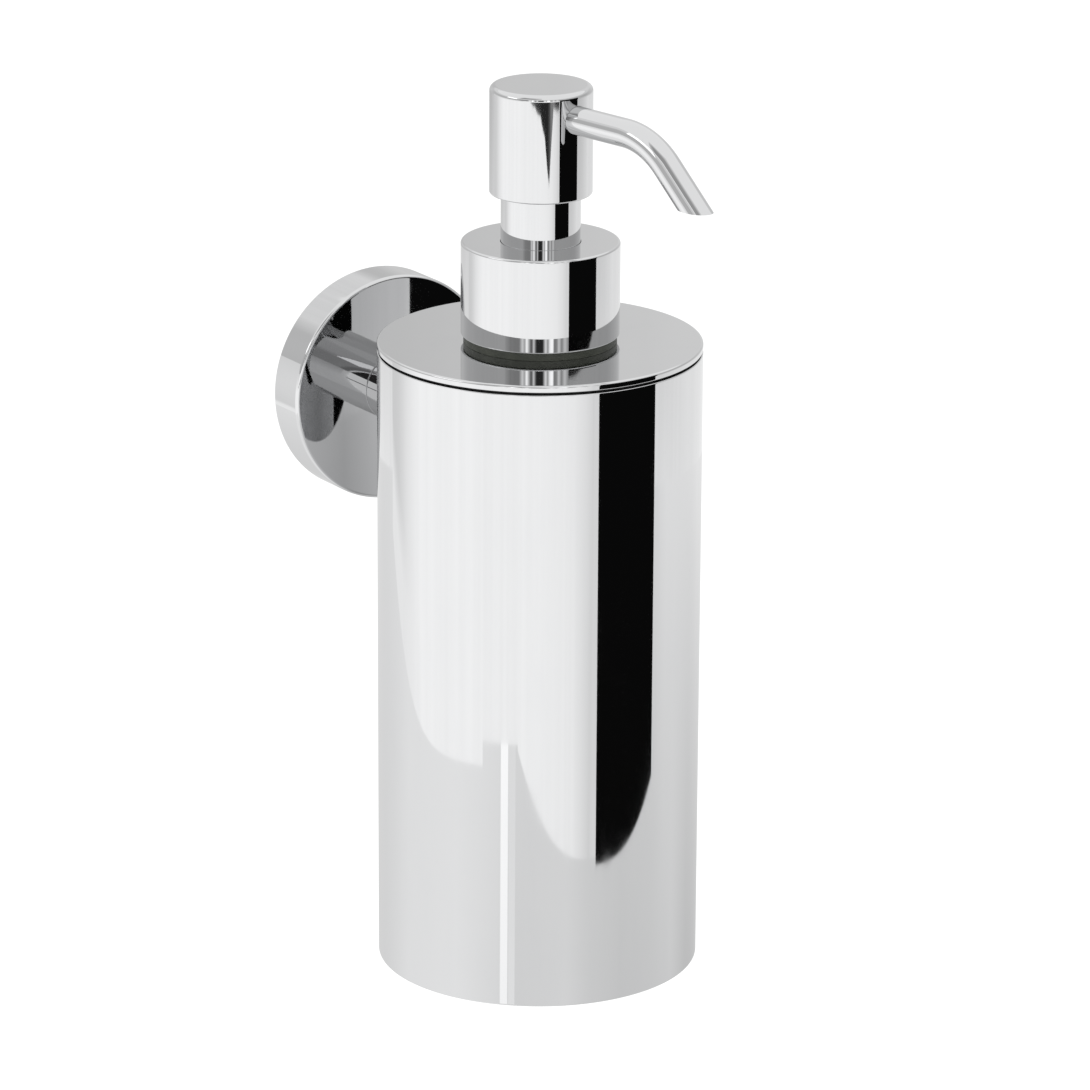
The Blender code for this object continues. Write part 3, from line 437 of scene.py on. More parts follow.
def true_round(piece, radius):
    """Point the shading of a cut cylinder straight out from its axis."""
    mesh = piece.data
    normals = [Vector(corner.vector) for corner in mesh.corner_normals]
    for face in mesh.polygons:
        if abs(face.normal.z) > 0.02:
            continue
        for loop in face.loop_indices:
            point = mesh.vertices[mesh.loops[loop].vertex_index].co
            out = Vector((point.x, point.y, 0.0))
            if abs(out.length - radius) < 0.02 * MM and out.dot(face.normal) > 0.0:
                normals[loop] = out.normalized()
    mesh.normals_split_custom_set(normals)


def finish_piece(node, piece, finish=None):
    """Give the piece its finish, and let it stand for the CAD node and move with its body."""
    slot = slot_of_node[node]
    piece.name = "finished_" + node
    piece.data.materials.clear()
    piece.data.materials.append(FINISHES[finish or slot])
    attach(piece, body_of_node[node])
    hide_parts(node)


def finish_turned(node, outline, sides, place=ON_AXIS):
    """A piece that is turned and needs no more work."""
    finish_piece(node, add_object(node, turn(outline, sides), place))


def sweep(path, across, up, outer, inner, sides):
    """Bmesh of a round wire or tube along a path, with the section's two directions at each point."""
    bm = bmesh.new()
    angles = [math.tau * k / sides for k in range(sides)]
    skins = []
    for radius in (outer, inner) if inner else (outer,):
        rings = []
        for point, side, rise in zip(path, across, up):
            spokes = [side * math.cos(a) + rise * math.sin(a) for a in angles]
            rings.append([bm.verts.new(point + radius * spoke) for spoke in spokes])
        for first, second in zip(rings, rings[1:]):
            for k in range(sides):
                after = (k + 1) % sides
                bm.faces.new((first[k], first[after], second[after], second[k]))
        skins.append(rings)
    for end in (0, -1):
        if not inner:
            bm.faces.new(skins[0][end])
            continue
        for k in range(sides):
            after = (k + 1) % sides
            bm.faces.new((skins[0][end][k], skins[0][end][after], skins[1][end][after], skins[1][end][k]))
    return bm


# ---- wall fixing ---------------------------------------------------------------------------------
def through_rim(height):
    """Place with +Z straight down through the rosette's rim, at a height over the wall."""
    return OUT_OF_WALL @ Matrix.Translation((0.0, 0.0, height)) @ TIPPED


def make_bracket():
    """Disc behind the rosette: a groove for the set screw and two countersunk holes."""
    near, far = off_wall("wall_bracket")
    middle = (near + far) / 2
    recess = 5.4 * MM
    recess_floor = 4.4 * MM
    mouth = SET_SCREW_RADIUS + 0.6 * MM
    groove = BRACKET_RADIUS - GROOVE_DEPTH
    outline = [(0.0, near), (BRACKET_RADIUS, near, 0.2 * MM), (BRACKET_RADIUS, middle - mouth, 0.1 * MM)]
    outline += [(groove, middle - SET_SCREW_RADIUS, 0.2 * MM)]
    outline += [(groove, middle + SET_SCREW_RADIUS, 0.2 * MM), (BRACKET_RADIUS, middle + mouth, 0.1 * MM)]
    outline += [(BRACKET_RADIUS - 0.5 * MM, far, 0.3 * MM)]
    outline += [(recess, far, 0.3 * MM), (recess, recess_floor, 0.3 * MM), (0.0, recess_floor)]
    bracket = add_object("bracket", turn(outline, LARGE), OUT_OF_WALL)
    hole = 2.25 * MM
    sink = 4.2 * MM
    hole_out = 13.5 * MM
    past = 1.0 * MM
    for side in (-1, 1):
        place = OUT_OF_WALL @ Matrix.Translation((side * hole_out, 0.0, 0.0))
        shape = [(0.0, -past), (hole, -past), (hole, far - (sink - hole))]
        shape += [(sink + past, far + past), (0.0, far + past)]
        cut(bracket, add_object("tool", turn(shape, MEDIUM), place))
    finish_piece("wall_bracket", bracket)


def make_rosette():
    """Round cover with a rounded front edge, open at the back."""
    near, far = off_wall("rosette")
    floor = far - 1.6 * MM
    hole = 2.8 * MM
    outline = [(ROSETTE_BORE, near, 0.2 * MM), (ROSETTE_RADIUS, near, 0.25 * MM)]
    outline += [(ROSETTE_RADIUS, far, 0.7 * MM), (hole, far), (hole, floor)]
    outline += [(ROSETTE_BORE, floor, 0.8 * MM)]
    rosette = add_object("rosette", turn(outline, GREAT), OUT_OF_WALL)
    place = through_rim(sum(off_wall("wall_bracket")) / 2)
    past = 2 * MM
    cut(rosette, rod(SET_SCREW_RADIUS + 0.15 * MM, ROSETTE_BORE - past, ROSETTE_RADIUS + past, place))
    true_round(rosette, ROSETTE_RADIUS)
    finish_piece("rosette", rosette)


def make_set_screw():
    """Grub screw under the rosette, with a fine thread on it."""
    low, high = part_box("rosette_set_screw")
    length = high.z - low.z
    tip = -high.z
    back = tip + length
    cone = 0.7 * MM
    outline = [(0.0, tip), (SET_SCREW_RADIUS - cone, tip)]
    outline += threaded(SET_SCREW_RADIUS, tip + cone, back - 0.2 * MM, 0.5 * MM, 0.18 * MM)
    outline += [(SET_SCREW_RADIUS - 0.15 * MM, back), (0.0, back)]
    place = through_rim(-(low.y + high.y) / 2)
    screw = add_object("set_screw", turn(outline, MEDIUM), place)
    cut(screw, rod(0.85 * MM, back - 1.6 * MM, back + 1.0 * MM, place, 6))
    finish_piece("rosette_set_screw", screw)


def make_arm():
    """Round arm: it stands on the rosette and is coped to the shell."""
    front = off_wall("rosette")[1]
    outer = [(ARM_RADIUS, front + TOUCH, 0.25 * MM), (ARM_RADIUS, -AXIS_Y), (0.0, -AXIS_Y)]
    arm = add_object("arm", turn([(0.0, front + TOUCH), *outer], GREAT), OUT_OF_WALL)
    beside_arm = Matrix.Translation((0.0, AXIS_Y, 0.0))
    cut(arm, rod(BODY_RADIUS + TOUCH, -BODY_RADIUS, BODY_RADIUS, beside_arm, 2 * GREAT))
    true_round(arm, ARM_RADIUS)
    # the arm takes the darker copy of the chrome, a painted shade
    finish_piece("arm", arm, "painted_shade_chrome")


def make_arm_screw(node, seat, flipped, length):
    """Pan head screw with a hexagon socket: the head's underside is at 0 and the thread runs up."""
    head = 4.6 * MM
    shank = 2.5 * MM
    outline = [(0.0, -ARM_SCREW_HEAD), (head, -ARM_SCREW_HEAD, 0.6 * MM)]
    outline += [(head, 0.0, 0.15 * MM), (shank, 0.0, 0.2 * MM)]
    outline += threaded(shank, 1.2 * MM, length - 0.6 * MM, 0.8 * MM, 0.3 * MM)
    outline += [(shank - 0.6 * MM, length), (0.0, length)]
    place = OUT_OF_WALL @ Matrix.Translation((0.0, 0.0, seat))
    if flipped:
        place = place @ Matrix.Rotation(math.pi, 4, "X")
    screw = add_object(node, turn(outline, MEDIUM), place)
    cut(screw, rod(1.5 * MM, -2 * ARM_SCREW_HEAD, -0.3 * ARM_SCREW_HEAD, place, 6))
    finish_piece(node, screw)


def make_arm_screws():
    near, far = off_wall("arm_screw_rear")
    make_arm_screw("arm_screw_rear", near + ARM_SCREW_HEAD, False, far - near - ARM_SCREW_HEAD)
    near, far = off_wall("arm_screw_front")
    make_arm_screw("arm_screw_front", far - ARM_SCREW_HEAD, True, far - near - ARM_SCREW_HEAD)


# ---- container -----------------------------------------------------------------------------------
def make_shell():
    """Polished tube, open at both ends."""
    low = bottom("container_shell")
    outline = [(SHELL_BORE, low, 0.2 * MM), (BODY_RADIUS, low, 0.4 * MM)]
    outline += [(BODY_RADIUS, SHELL_TOP, 0.2 * MM), (SHELL_BORE, SHELL_TOP, 0.2 * MM)]
    finish_turned("container_shell", outline, GREAT)


def make_base():
    """Pressed cup in the tube, open downwards, with a drain hole."""
    radius = reach("container_base")
    low = bottom("container_base")
    high = top("container_base")
    sheet = 1.2 * MM
    drain = 2.5 * MM
    inner = radius - sheet
    outline = [(inner, low, 0.2 * MM), (radius, low, 0.2 * MM), (radius, high, sheet)]
    outline += [(drain, high, 0.3 * MM), (drain, high - sheet, 0.3 * MM), (inner, high - sheet, 0.4 * MM)]
    finish_turned("container_base", outline, GREAT)


def make_lid():
    """Round plate on a spigot, with a groove for the gasket under its rim."""
    groove = SHELL_BORE - 1.8 * MM
    spigot = SHELL_BORE - 0.4 * MM
    bore = groove - 2.2 * MM
    low = bottom("lid")
    groove_low = -LID_THICKNESS - 2.6 * MM
    under = -LID_THICKNESS
    outline = [(NECK_HOLE, under, 0.1 * MM), (bore, under, 0.2 * MM), (bore, low, 0.3 * MM)]
    outline += [(spigot, low, 0.3 * MM), (spigot, groove_low, 0.15 * MM), (groove, groove_low, 0.1 * MM)]
    outline += [(groove, under, 0.1 * MM), (BODY_RADIUS, under, 0.2 * MM)]
    outline += [(BODY_RADIUS, 0.0, 0.5 * MM), (NECK_HOLE, 0.0, 0.12 * MM)]
    finish_turned("lid", outline, GREAT)


def make_lid_gasket():
    """Ring in the lid's groove, with a lip half way up."""
    outer = reach("lid_gasket")
    low = bottom("lid_gasket")
    high = -LID_THICKNESS - TOUCH
    inner = outer - 1.45 * MM
    edge = outer - 0.4 * MM
    outline = [(inner, low, 0.1 * MM), (edge, low, 0.2 * MM), (outer, (low + high) / 2, 0.3 * MM)]
    outline += [(edge, high, 0.2 * MM), (inner, high, 0.1 * MM)]
    finish_turned("lid_gasket", outline, GREAT)


def add_thread(place, rim):
    """Helical ridge on the bottle's neck, run out at both ends."""
    per_turn = 96
    turns = 1.25
    pitch = 4.2 * MM
    count = int(turns * per_turn) + 1
    low = rim - 2.6 * MM - pitch * turns
    root = NECK_RADIUS - 0.5 * MM
    bevel = 0.12 * MM
    bm = bmesh.new()
    rings = []
    for step in range(count):
        angle = math.tau * step / per_turn
        ends = min(step, count - 1 - step)
        crest = NECK_RADIUS + (THREAD_RADIUS - NECK_RADIUS) * min(1.0, 0.2 + ends / 20)
        height = low + pitch * step / per_turn
        section = [(root, -0.9 * MM), (crest - bevel, -0.42 * MM), (crest, -0.28 * MM),
                   (crest, 0.28 * MM), (crest - bevel, 0.42 * MM), (root, 0.9 * MM)]
        x = math.cos(angle)
        y = math.sin(angle)
        rings.append([bm.verts.new((out * x, out * y, height + rise)) for out, rise in section])
    corners = len(rings[0])
    for first, second in zip(rings, rings[1:]):
        for k in range(corners):
            after = (k + 1) % corners
            bm.faces.new((first[k], first[after], second[after], second[k]))
    bm.faces.new(rings[0])
    bm.faces.new(rings[-1])
    return add_object("tool", bm, place)


def make_bottle():
    """Blow moulded bottle with a threaded neck that comes up through the lid."""
    radius = reach("bottle")
    low = bottom("bottle")
    rim = top("bottle")
    wall = 1.2 * MM
    bead = NECK_RADIUS + 2.6 * MM
    bead_top = -LID_THICKNESS - TOUCH
    bead_low = bead_top - 1.3 * MM
    shoulder = -4.4 * MM
    inner = radius - wall
    push_up = low + 0.8 * MM
    outline = [(0.0, push_up), (radius - 9 * MM, push_up, 1.0 * MM), (radius - 7 * MM, low, 1.2 * MM)]
    outline += [(radius, low, 4.0 * MM), (radius, shoulder, 6.0 * MM), (NECK_RADIUS, shoulder, 0.6 * MM)]
    outline += [(NECK_RADIUS, bead_low, 0.1 * MM), (bead, bead_low, 0.2 * MM), (bead, bead_top, 0.2 * MM)]
    outline += [(NECK_RADIUS, bead_top, 0.2 * MM), (NECK_RADIUS, rim, 0.25 * MM)]
    outline += [(NECK_BORE, rim, 0.25 * MM), (NECK_BORE, shoulder - wall, 0.8 * MM)]
    outline += [(inner, shoulder - wall, 4.8 * MM)]
    outline += [(inner, low + wall, 3.0 * MM), (radius - 7.4 * MM, low + wall, 1.0 * MM)]
    outline += [(radius - 9.4 * MM, push_up + wall, 1.0 * MM), (0.0, push_up + wall)]
    bm = turn(outline, LARGE)
    parting_line = 0.12 * MM            # what the mould's parting line stands out
    for vert in bm.verts:
        if abs(vert.co.y) < 0.3 * MM and abs(vert.co.x) > radius - 0.1 * MM:
            vert.co.x *= 1.0 + parting_line / radius
    bottle = add_object("bottle", bm, ON_AXIS)
    cut(bottle, add_thread(ON_AXIS, rim), "UNION")
    finish_piece("bottle", bottle)


def make_neck_seal():
    """Flat ring between the lid and the collar."""
    outer = reach("neck_seal")
    high = bottom("collar") - TOUCH
    outline = [(NECK_HOLE, TOUCH), (outer, TOUCH, 0.05 * MM), (outer, high, 0.05 * MM), (NECK_HOLE, high)]
    finish_turned("neck_seal", outline, LARGE)


# ---- pump ----------------------------------------------------------------------------------------
def make_collar():
    """Chromed cover of the closure, with a hole for the guide sleeve."""
    low = bottom("collar")
    high = top("collar")
    bore = COLLAR_RADIUS - COLLAR_WALL
    hole = SLEEVE_RADIUS + 0.06 * MM
    under = high - COLLAR_WALL
    outline = [(bore, low, 0.15 * MM), (COLLAR_RADIUS, low, 0.3 * MM), (COLLAR_RADIUS, high, 0.5 * MM)]
    outline += [(hole, high, 0.12 * MM), (hole, under, 0.1 * MM), (bore, under, 0.3 * MM)]
    finish_turned("collar", outline, GREAT)


def make_closure():
    """Closure inside the collar, with a plain bore over the neck's thread."""
    outer = reach("closure_insert")
    low = bottom("closure_insert")
    high = top("closure_insert")
    inner = THREAD_RADIUS + 0.3 * MM
    hole = SLEEVE_RADIUS + 0.3 * MM
    plate = high - 1.1 * MM
    outline = [(inner, low, 0.2 * MM), (outer, low, 0.2 * MM), (outer, high, 0.3 * MM)]
    outline += [(hole, high, 0.1 * MM), (hole, plate, 0.1 * MM), (inner, plate, 0.2 * MM)]
    finish_turned("closure_insert", outline, LARGE)


def make_guide_sleeve():
    """Sleeve that the stem slides in: a flange under the closure and a lip at its top."""
    low = bottom("guide_sleeve")
    high = top("guide_sleeve")
    flange_top = 17.0 * MM
    flange_low = flange_top - 1.2 * MM
    flange = reach("guide_sleeve")
    lower = HOUSING_BORE - 0.3 * MM
    bore = 5.0 * MM
    lip = STEM_RADIUS + 0.3 * MM
    lip_low = high - 1.5 * MM
    outline = [(bore, low, 0.15 * MM), (lower, low, 0.2 * MM), (lower, flange_low, 0.1 * MM)]
    outline += [(flange, flange_low, 0.15 * MM), (flange, flange_top, 0.15 * MM)]
    outline += [(SLEEVE_RADIUS, flange_top, 0.15 * MM), (SLEEVE_RADIUS, high, 0.3 * MM)]
    outline += [(lip, high, 0.15 * MM), (lip, lip_low, 0.1 * MM), (bore, lip_low, 0.2 * MM)]
    finish_turned("guide_sleeve", outline, LARGE)


def make_pump_gasket():
    outer = reach("pump_gasket")
    inner = HOUSING_RADIUS + 0.3 * MM
    outline = tube(inner, outer, bottom("pump_gasket"), top("pump_gasket"), 0.2 * MM)
    finish_turned("pump_gasket", outline, LARGE)


def make_pump_housing():
    """Cylinder in the bottle, with the ball's seat and the dip tube's socket below."""
    low = bottom("pump_housing")
    high = top("pump_housing")
    shoulder = -30.0 * MM
    seat_low = low + 10.0 * MM
    seat_high = seat_low + 2.0 * MM
    socket_top = seat_low - 2.0 * MM
    socket = DIP_RADIUS + 0.3 * MM
    nose = socket + 1.3 * MM
    flange = reach("pump_housing")
    flange_low = high - 1.5 * MM
    outline = [(HOUSING_BORE, high, 0.15 * MM), (HOUSING_BORE, shoulder, 0.2 * MM)]
    outline += [(CHAMBER_RADIUS, shoulder, 0.2 * MM), (CHAMBER_RADIUS, seat_high)]
    outline += [(SEAT_RADIUS, seat_low), (SEAT_RADIUS, socket_top), (socket, socket_top, 0.1 * MM)]
    outline += [(socket, low, 0.2 * MM), (nose, low, 0.4 * MM), (nose, shoulder - 5.5 * MM, 0.6 * MM)]
    outline += [(HOUSING_RADIUS, shoulder - 1.3 * MM, 1.0 * MM), (HOUSING_RADIUS, flange_low, 0.3 * MM)]
    outline += [(flange, flange_low, 0.15 * MM), (flange, high, 0.15 * MM)]
    finish_turned("pump_housing", outline, LARGE)


def make_ball_cage():
    """Stop over the ball, with ports round its edge."""
    low = bottom("ball_cage")
    high = top("ball_cage")
    radius = reach("ball_cage")
    outline = [(0.0, low), (radius, low, 0.2 * MM), (radius, high, 0.2 * MM), (0.0, high)]
    cage = add_object("cage", turn(outline, MEDIUM), ON_AXIS)
    ports = 4
    port = 1.5 * MM
    out = CHAMBER_RADIUS - port / 2
    for index in range(ports):
        angle = math.tau * (index + 0.5) / ports
        place = ON_AXIS @ Matrix.Translation((out * math.cos(angle), out * math.sin(angle), 0.0))
        cut(cage, rod(port, low - MM, high + MM, place, 48))
    finish_piece("ball_cage", cage)


def make_ball():
    low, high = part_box("inlet_ball")
    bm = bmesh.new()
    bmesh.ops.create_icosphere(bm, subdivisions=4, radius=(high.z - low.z) / 2)
    finish_piece("inlet_ball", add_object("ball", bm, Matrix.Translation((low + high) / 2), 60.0))


def make_dip_tube():
    """Suction tube with a slanted end."""
    low = bottom("dip_tube")
    high = top("dip_tube")
    bm = turn(tube(DIP_RADIUS - 0.8 * MM, DIP_RADIUS, low, high, 0.08 * MM), SMALL)
    for vert in bm.verts:
        if vert.co.z < low + MM:
            vert.co.z += DIP_RADIUS + vert.co.x
    finish_piece("dip_tube", add_object("dip_tube", bm, ON_AXIS))


def make_spring():
    """Compression spring with a close coil at each end."""
    wire = 0.45 * MM
    radius = reach("return_spring") - wire
    low = bottom("return_spring") + wire
    high = top("return_spring") - wire
    turns = 8
    per_turn = 48
    close = 2 * wire + 0.1 * MM
    open_pitch = (high - low - 2 * close) / (turns - 2)
    path = []
    across = []
    for step in range(turns * per_turn + 1):
        turned = step / per_turn
        first = min(turned, 1.0)
        last = max(turned - (turns - 1), 0.0)
        height = low + (first + last) * close + (turned - first - last) * open_pitch
        out = Vector((math.cos(math.tau * turned), math.sin(math.tau * turned), 0.0))
        path.append(out * radius + Vector((0.0, 0.0, height)))
        across.append(out)
    up = [Vector((0.0, 0.0, 1.0))] * len(path)
    coils = sweep(path, across, up, wire, None, 16)
    finish_piece("return_spring", add_object("spring", coils, ON_AXIS, 60.0))


def make_piston():
    """Piston with a groove for its ring and a socket for the stem."""
    high = top("piston")
    low = bottom("piston")
    radius = reach("piston")
    groove_high = high - 2.0 * MM
    groove_low = groove_high - 2.2 * MM
    port = 1.8 * MM
    socket = STEM_RADIUS + 0.3 * MM
    socket_low = high - 4.0 * MM
    groove = radius - 1.6 * MM
    outline = [(port, low, 0.2 * MM), (radius, low, 0.5 * MM), (radius, groove_low, 0.1 * MM)]
    outline += [(groove, groove_low, 0.1 * MM), (groove, groove_high, 0.1 * MM)]
    outline += [(radius, groove_high, 0.1 * MM), (radius, high, 0.3 * MM)]
    outline += [(socket, high, 0.2 * MM), (socket, socket_low, 0.1 * MM), (port, socket_low, 0.1 * MM)]
    finish_turned("piston", outline, MEDIUM)


def make_piston_ring():
    outer = reach("piston_ring")
    outline = tube(outer - 1.5 * MM, outer, bottom("piston_ring"), top("piston_ring"), 0.4 * MM)
    finish_turned("piston_ring", outline, MEDIUM)


def make_stem():
    outline = tube(STEM_RADIUS - 1.2 * MM, STEM_RADIUS, bottom("stem"), top("stem"), 0.2 * MM)
    finish_turned("stem", outline, MEDIUM, ON_HEAD)


# ---- head ----------------------------------------------------------------------------------------
def port_tool(radius, inner_end, outer_end):
    """Tool along the spout, between two distances from the head's axis."""
    along = Matrix.Translation((0.0, 0.0, SPOUT_HEIGHT)) @ TIPPED
    return rod(radius, inner_end, outer_end, ON_HEAD @ along)


def make_head():
    """Head: a skirt over the guide sleeve, a seat for the core and the spout's hole."""
    radius = 10.25 * MM
    cavity = 8.45 * MM
    low = bottom("head")
    high = top("head")
    plate = high - 1.7 * MM
    cavity_top = 42.9 * MM
    seat = 6.0 * MM
    outline = [(cavity, low, 0.3 * MM), (radius, low, 0.35 * MM), (radius, high, 1.2 * MM)]
    outline += [(0.0, high), (0.0, plate), (seat, plate, 0.2 * MM)]
    outline += [(seat, cavity_top, 0.1 * MM), (cavity, cavity_top, 0.4 * MM)]
    head = add_object("head", turn(outline, GREAT), ON_HEAD)
    cut(head, port_tool(SPOUT_RADIUS + 0.04 * MM, seat - MM, radius + 2 * MM))
    true_round(head, radius)
    finish_piece("head", head)


def make_head_core():
    low = bottom("head_core")
    high = top("head_core")
    radius = 5.7 * MM
    passage = 1.8 * MM
    start = 4.2 * MM
    outline = [(0.0, low), (radius, low, 0.2 * MM), (radius, high, 0.2 * MM), (0.0, high)]
    core = add_object("core", turn(outline, MEDIUM), ON_HEAD)
    cut(core, rod(STEM_RADIUS + 0.3 * MM, low - MM, low + 3.2 * MM, ON_HEAD))
    cut(core, port_tool(SPOUT_RADIUS + 0.3 * MM, start - 0.3 * MM, radius + 2 * MM))
    cut(core, rod(passage, low, SPOUT_HEIGHT, ON_HEAD, 48))
    cut(core, port_tool(passage, 0.0, start))
    finish_piece("head_core", core)


def make_spout():
    """Bent tube: level out of the head, down through one bend, and cut level at the tip."""
    out = Vector((0.0, -1.0, 0.0))
    rise = Vector((0.0, 0.0, 1.0))
    side = Vector((1.0, 0.0, 0.0))
    level = 23.6 * MM
    bend = 16.9 * MM
    drop = math.radians(43.0)
    fall_height = 11.8 * MM
    near = 0.2 * MM
    path = []
    tops = []
    for reach_out in (4.2 * MM, 4.2 * MM + near, level - near):
        path.append(out * reach_out + rise * SPOUT_HEIGHT)
        tops.append(rise)
    centre = out * level + rise * (SPOUT_HEIGHT - bend)
    steps = 36
    for step in range(steps + 1):
        angle = drop * step / steps
        up = rise * math.cos(angle) + out * math.sin(angle)
        path.append(centre + up * bend)
        tops.append(up)
    fall = out * math.cos(drop) - rise * math.sin(drop)
    straight = (path[-1].z - SPOUT_HEIGHT + fall_height) / math.sin(drop)
    path.append(path[-1] + fall * near)
    tops.append(tops[-1])
    end = path[-2] + fall * straight
    for back in (near, 0.0):
        path.append(end - fall * back)
        tops.append(out / math.sin(drop))
    bm = sweep(path, [side] * len(path), tops, SPOUT_RADIUS, SPOUT_RADIUS - 0.6 * MM, MEDIUM)
    finish_piece("spout", add_object("spout", bm, ON_HEAD))


def finish_saddle():
    """The bent washer keeps its frame shape."""
    saddle = frame["nodes"]["saddle_washer"]
    for slot in saddle.material_slots:
        slot.material = FINISHES["steel"]


def make_pieces():
    make_bracket()
    make_rosette()
    make_set_screw()
    make_arm()
    make_arm_screws()
    finish_saddle()
    make_shell()
    make_base()
    make_lid()
    make_lid_gasket()
    make_bottle()
    make_neck_seal()
    make_collar()
    make_closure()
    make_guide_sleeve()
    make_pump_gasket()
    make_pump_housing()
    make_ball_cage()
    make_ball()
    make_dip_tube()
    make_spring()
    make_piston()
    make_piston_ring()
    make_stem()
    make_head()
    make_head_core()
    make_spout()


# ---- studio --------------------------------------------------------------------------------------
CAMERA_AZIMUTH = math.radians(-33.79)
CAMERA_ELEVATION = math.radians(18.04)
CAMERA_ROLL = 0.0053
CAMERA_DISTANCE = 1.2056
CAMERA_LENS = 200.2
SIGHT_RIGHT = 0.964 * MM            # the camera's aim, counted right and up from the lid's centre
SIGHT_UP = -40.79 * MM
FLOOR = LID_TOP - 0.300
TABLE = FLOOR + 2 * MM              # where the cloths stand
CLOTH_TOP = LID_TOP + 0.06
ALL_ROUND = (-180.0, 180.0)


def add_camera():
    """Camera with a long lens, to the left and a little above, aimed at the container's middle."""
    azimuth = CAMERA_AZIMUTH
    level = math.cos(CAMERA_ELEVATION)
    back = Vector((math.sin(azimuth) * level, -math.cos(azimuth) * level, math.sin(CAMERA_ELEVATION)))
    right = Vector((math.cos(azimuth), math.sin(azimuth), 0.0))
    up = back.cross(right)
    rolled_right = right * math.cos(CAMERA_ROLL) + up * math.sin(CAMERA_ROLL)
    rolled_up = up * math.cos(CAMERA_ROLL) - right * math.sin(CAMERA_ROLL)
    sight = Vector((0.0, AXIS_Y, LID_TOP)) + rolled_right * SIGHT_RIGHT + rolled_up * SIGHT_UP
    data = bpy.data.cameras.new("camera")
    data.lens = CAMERA_LENS
    data.sensor_width = 36.0
    data.clip_start = 0.05
    data.clip_end = 20.0
    camera = bpy.data.objects.new("camera", data)
    turned = Matrix((rolled_right, rolled_up, back)).transposed().to_4x4()
    camera.matrix_world = Matrix.Translation(sight + back * CAMERA_DISTANCE) @ turned
    bpy.context.scene.collection.objects.link(camera)
    bpy.context.scene.camera = camera


def bearing(degrees, distance, height):
    """Point round the container, its bearing counted to the right from the side that faces the camera."""
    toward = Vector((math.sin(CAMERA_AZIMUTH), -math.cos(CAMERA_AZIMUTH), 0.0))
    right = Vector((math.cos(CAMERA_AZIMUTH), math.sin(CAMERA_AZIMUTH), 0.0))
    angle = math.radians(degrees)
    return Vector((0.0, AXIS_Y, height)) + (toward * math.cos(angle) + right * math.sin(angle)) * distance


def glow(name, ripple):
    """Evenly lit cloth: the brightness of its points, with the faint ripple of a hung sheet."""
    finish = Finish(name)
    folds = finish.noise(55 * MM, 4.0, finish.stretched(1.0, 1.0, 0.06), 0.65)
    level = finish.node("ShaderNodeAttribute", {"attribute_name": "level"}, output="Fac")
    white = level * (1.0 + (folds - 0.5) * ripple)
    light = finish.node("ShaderNodeEmission", None, {"Color": white, "Strength": 1.0})
    finish.tree.nodes.remove(finish.shader)
    finish.put(finish.tree.nodes["Material Output"].inputs["Surface"], light)
    return finish.material


def level_at(levels, angle):
    """Brightness at a bearing, between the (bearing, brightness) pairs on each side of it."""
    if not isinstance(levels, list):
        return levels
    for (start, first), (end, last) in zip(levels, levels[1:]):
        if angle <= end:
            share = max(0.0, (angle - start) / (end - start))
            return first + (last - first) * share
    return levels[-1][1]


def add_sheet(name, columns, ripple, seen):
    """Sheet through columns of (place, brightness); unless it is seen, only the chrome shows it."""
    bm = bmesh.new()
    layer = bm.verts.layers.float.new("level")
    grid = []
    for column in columns:
        verts = []
        for place, level in column:
            vert = bm.verts.new(place)
            vert[layer] = level
            verts.append(vert)
        grid.append(verts)
    for first, second in zip(grid, grid[1:]):
        for k in range(len(first) - 1):
            bm.faces.new((first[k], second[k], second[k + 1], first[k + 1]))
    mesh = bpy.data.meshes.new(name)
    bm.to_mesh(mesh)
    bm.free()
    mesh.materials.append(glow(name, ripple))
    sheet = bpy.data.objects.new(name, mesh)
    bpy.context.scene.collection.objects.link(sheet)
    sheet.visible_camera = seen


def add_cloth(name, bearings, distances, rows, bow=1.0, ripple=0.13):
    """Upright sheet round the dispenser; rows are (height, brightness) and bow curves it outwards."""
    columns = []
    steps = 120
    for step in range(steps + 1):
        share = step / steps
        angle = bearings[0] + (bearings[1] - bearings[0]) * share
        distance = distances[0] + (distances[1] - distances[0]) * share ** bow
        places = [bearing(angle, distance, height) for height, row_levels in rows]
        levels = [level_at(row_levels, angle) for height, row_levels in rows]
        columns.append(list(zip(places, levels)))
    add_sheet(name, columns, ripple, False)


def add_ground(name, bearings, rows, height, seen=False):
    """Level sheet; rows are (distance, brightness)."""
    columns = []
    steps = 96
    for step in range(steps + 1):
        angle = bearings[0] + (bearings[1] - bearings[0]) * step / steps
        places = [bearing(angle, distance, height) for distance, row_levels in rows]
        levels = [level_at(row_levels, angle) for distance, row_levels in rows]
        columns.append(list(zip(places, levels)))
    add_sheet(name, columns, 0.0, seen)


def add_flap():
    """Dark flap that hangs down to a point, for the wedge in the pump's head beside the spout."""
    distance = 0.540
    high = LID_TOP - 0.070
    points = [(-24, 79.5, 0.50), (-14, 81.0, 0.10), (-2, 83.5, 0.03), (8, 90.0, 0.03), (14, 100.0, 0.03),
              (18, 104.0, 0.10), (22, 93.0, 0.30), (27, 81.5, 0.30), (32, 82.0, 0.05), (40, 82.0, 0.02)]
    columns = []
    for angle, drop, level in points:
        heights = (high, LID_TOP - drop * MM)
        columns.append([(bearing(angle, distance, height), level) for height in heights])
    add_sheet("flap", columns, 0.0, False)


def set_world(level):
    """Even white light from everywhere that no sheet covers."""
    world = bpy.data.worlds.new("studio")
    world.use_nodes = True
    background = world.node_tree.nodes["Background"]
    background.inputs["Color"].default_value = (1.0, 1.0, 1.0, 1.0)
    background.inputs["Strength"].default_value = level
    bpy.context.scene.world = world


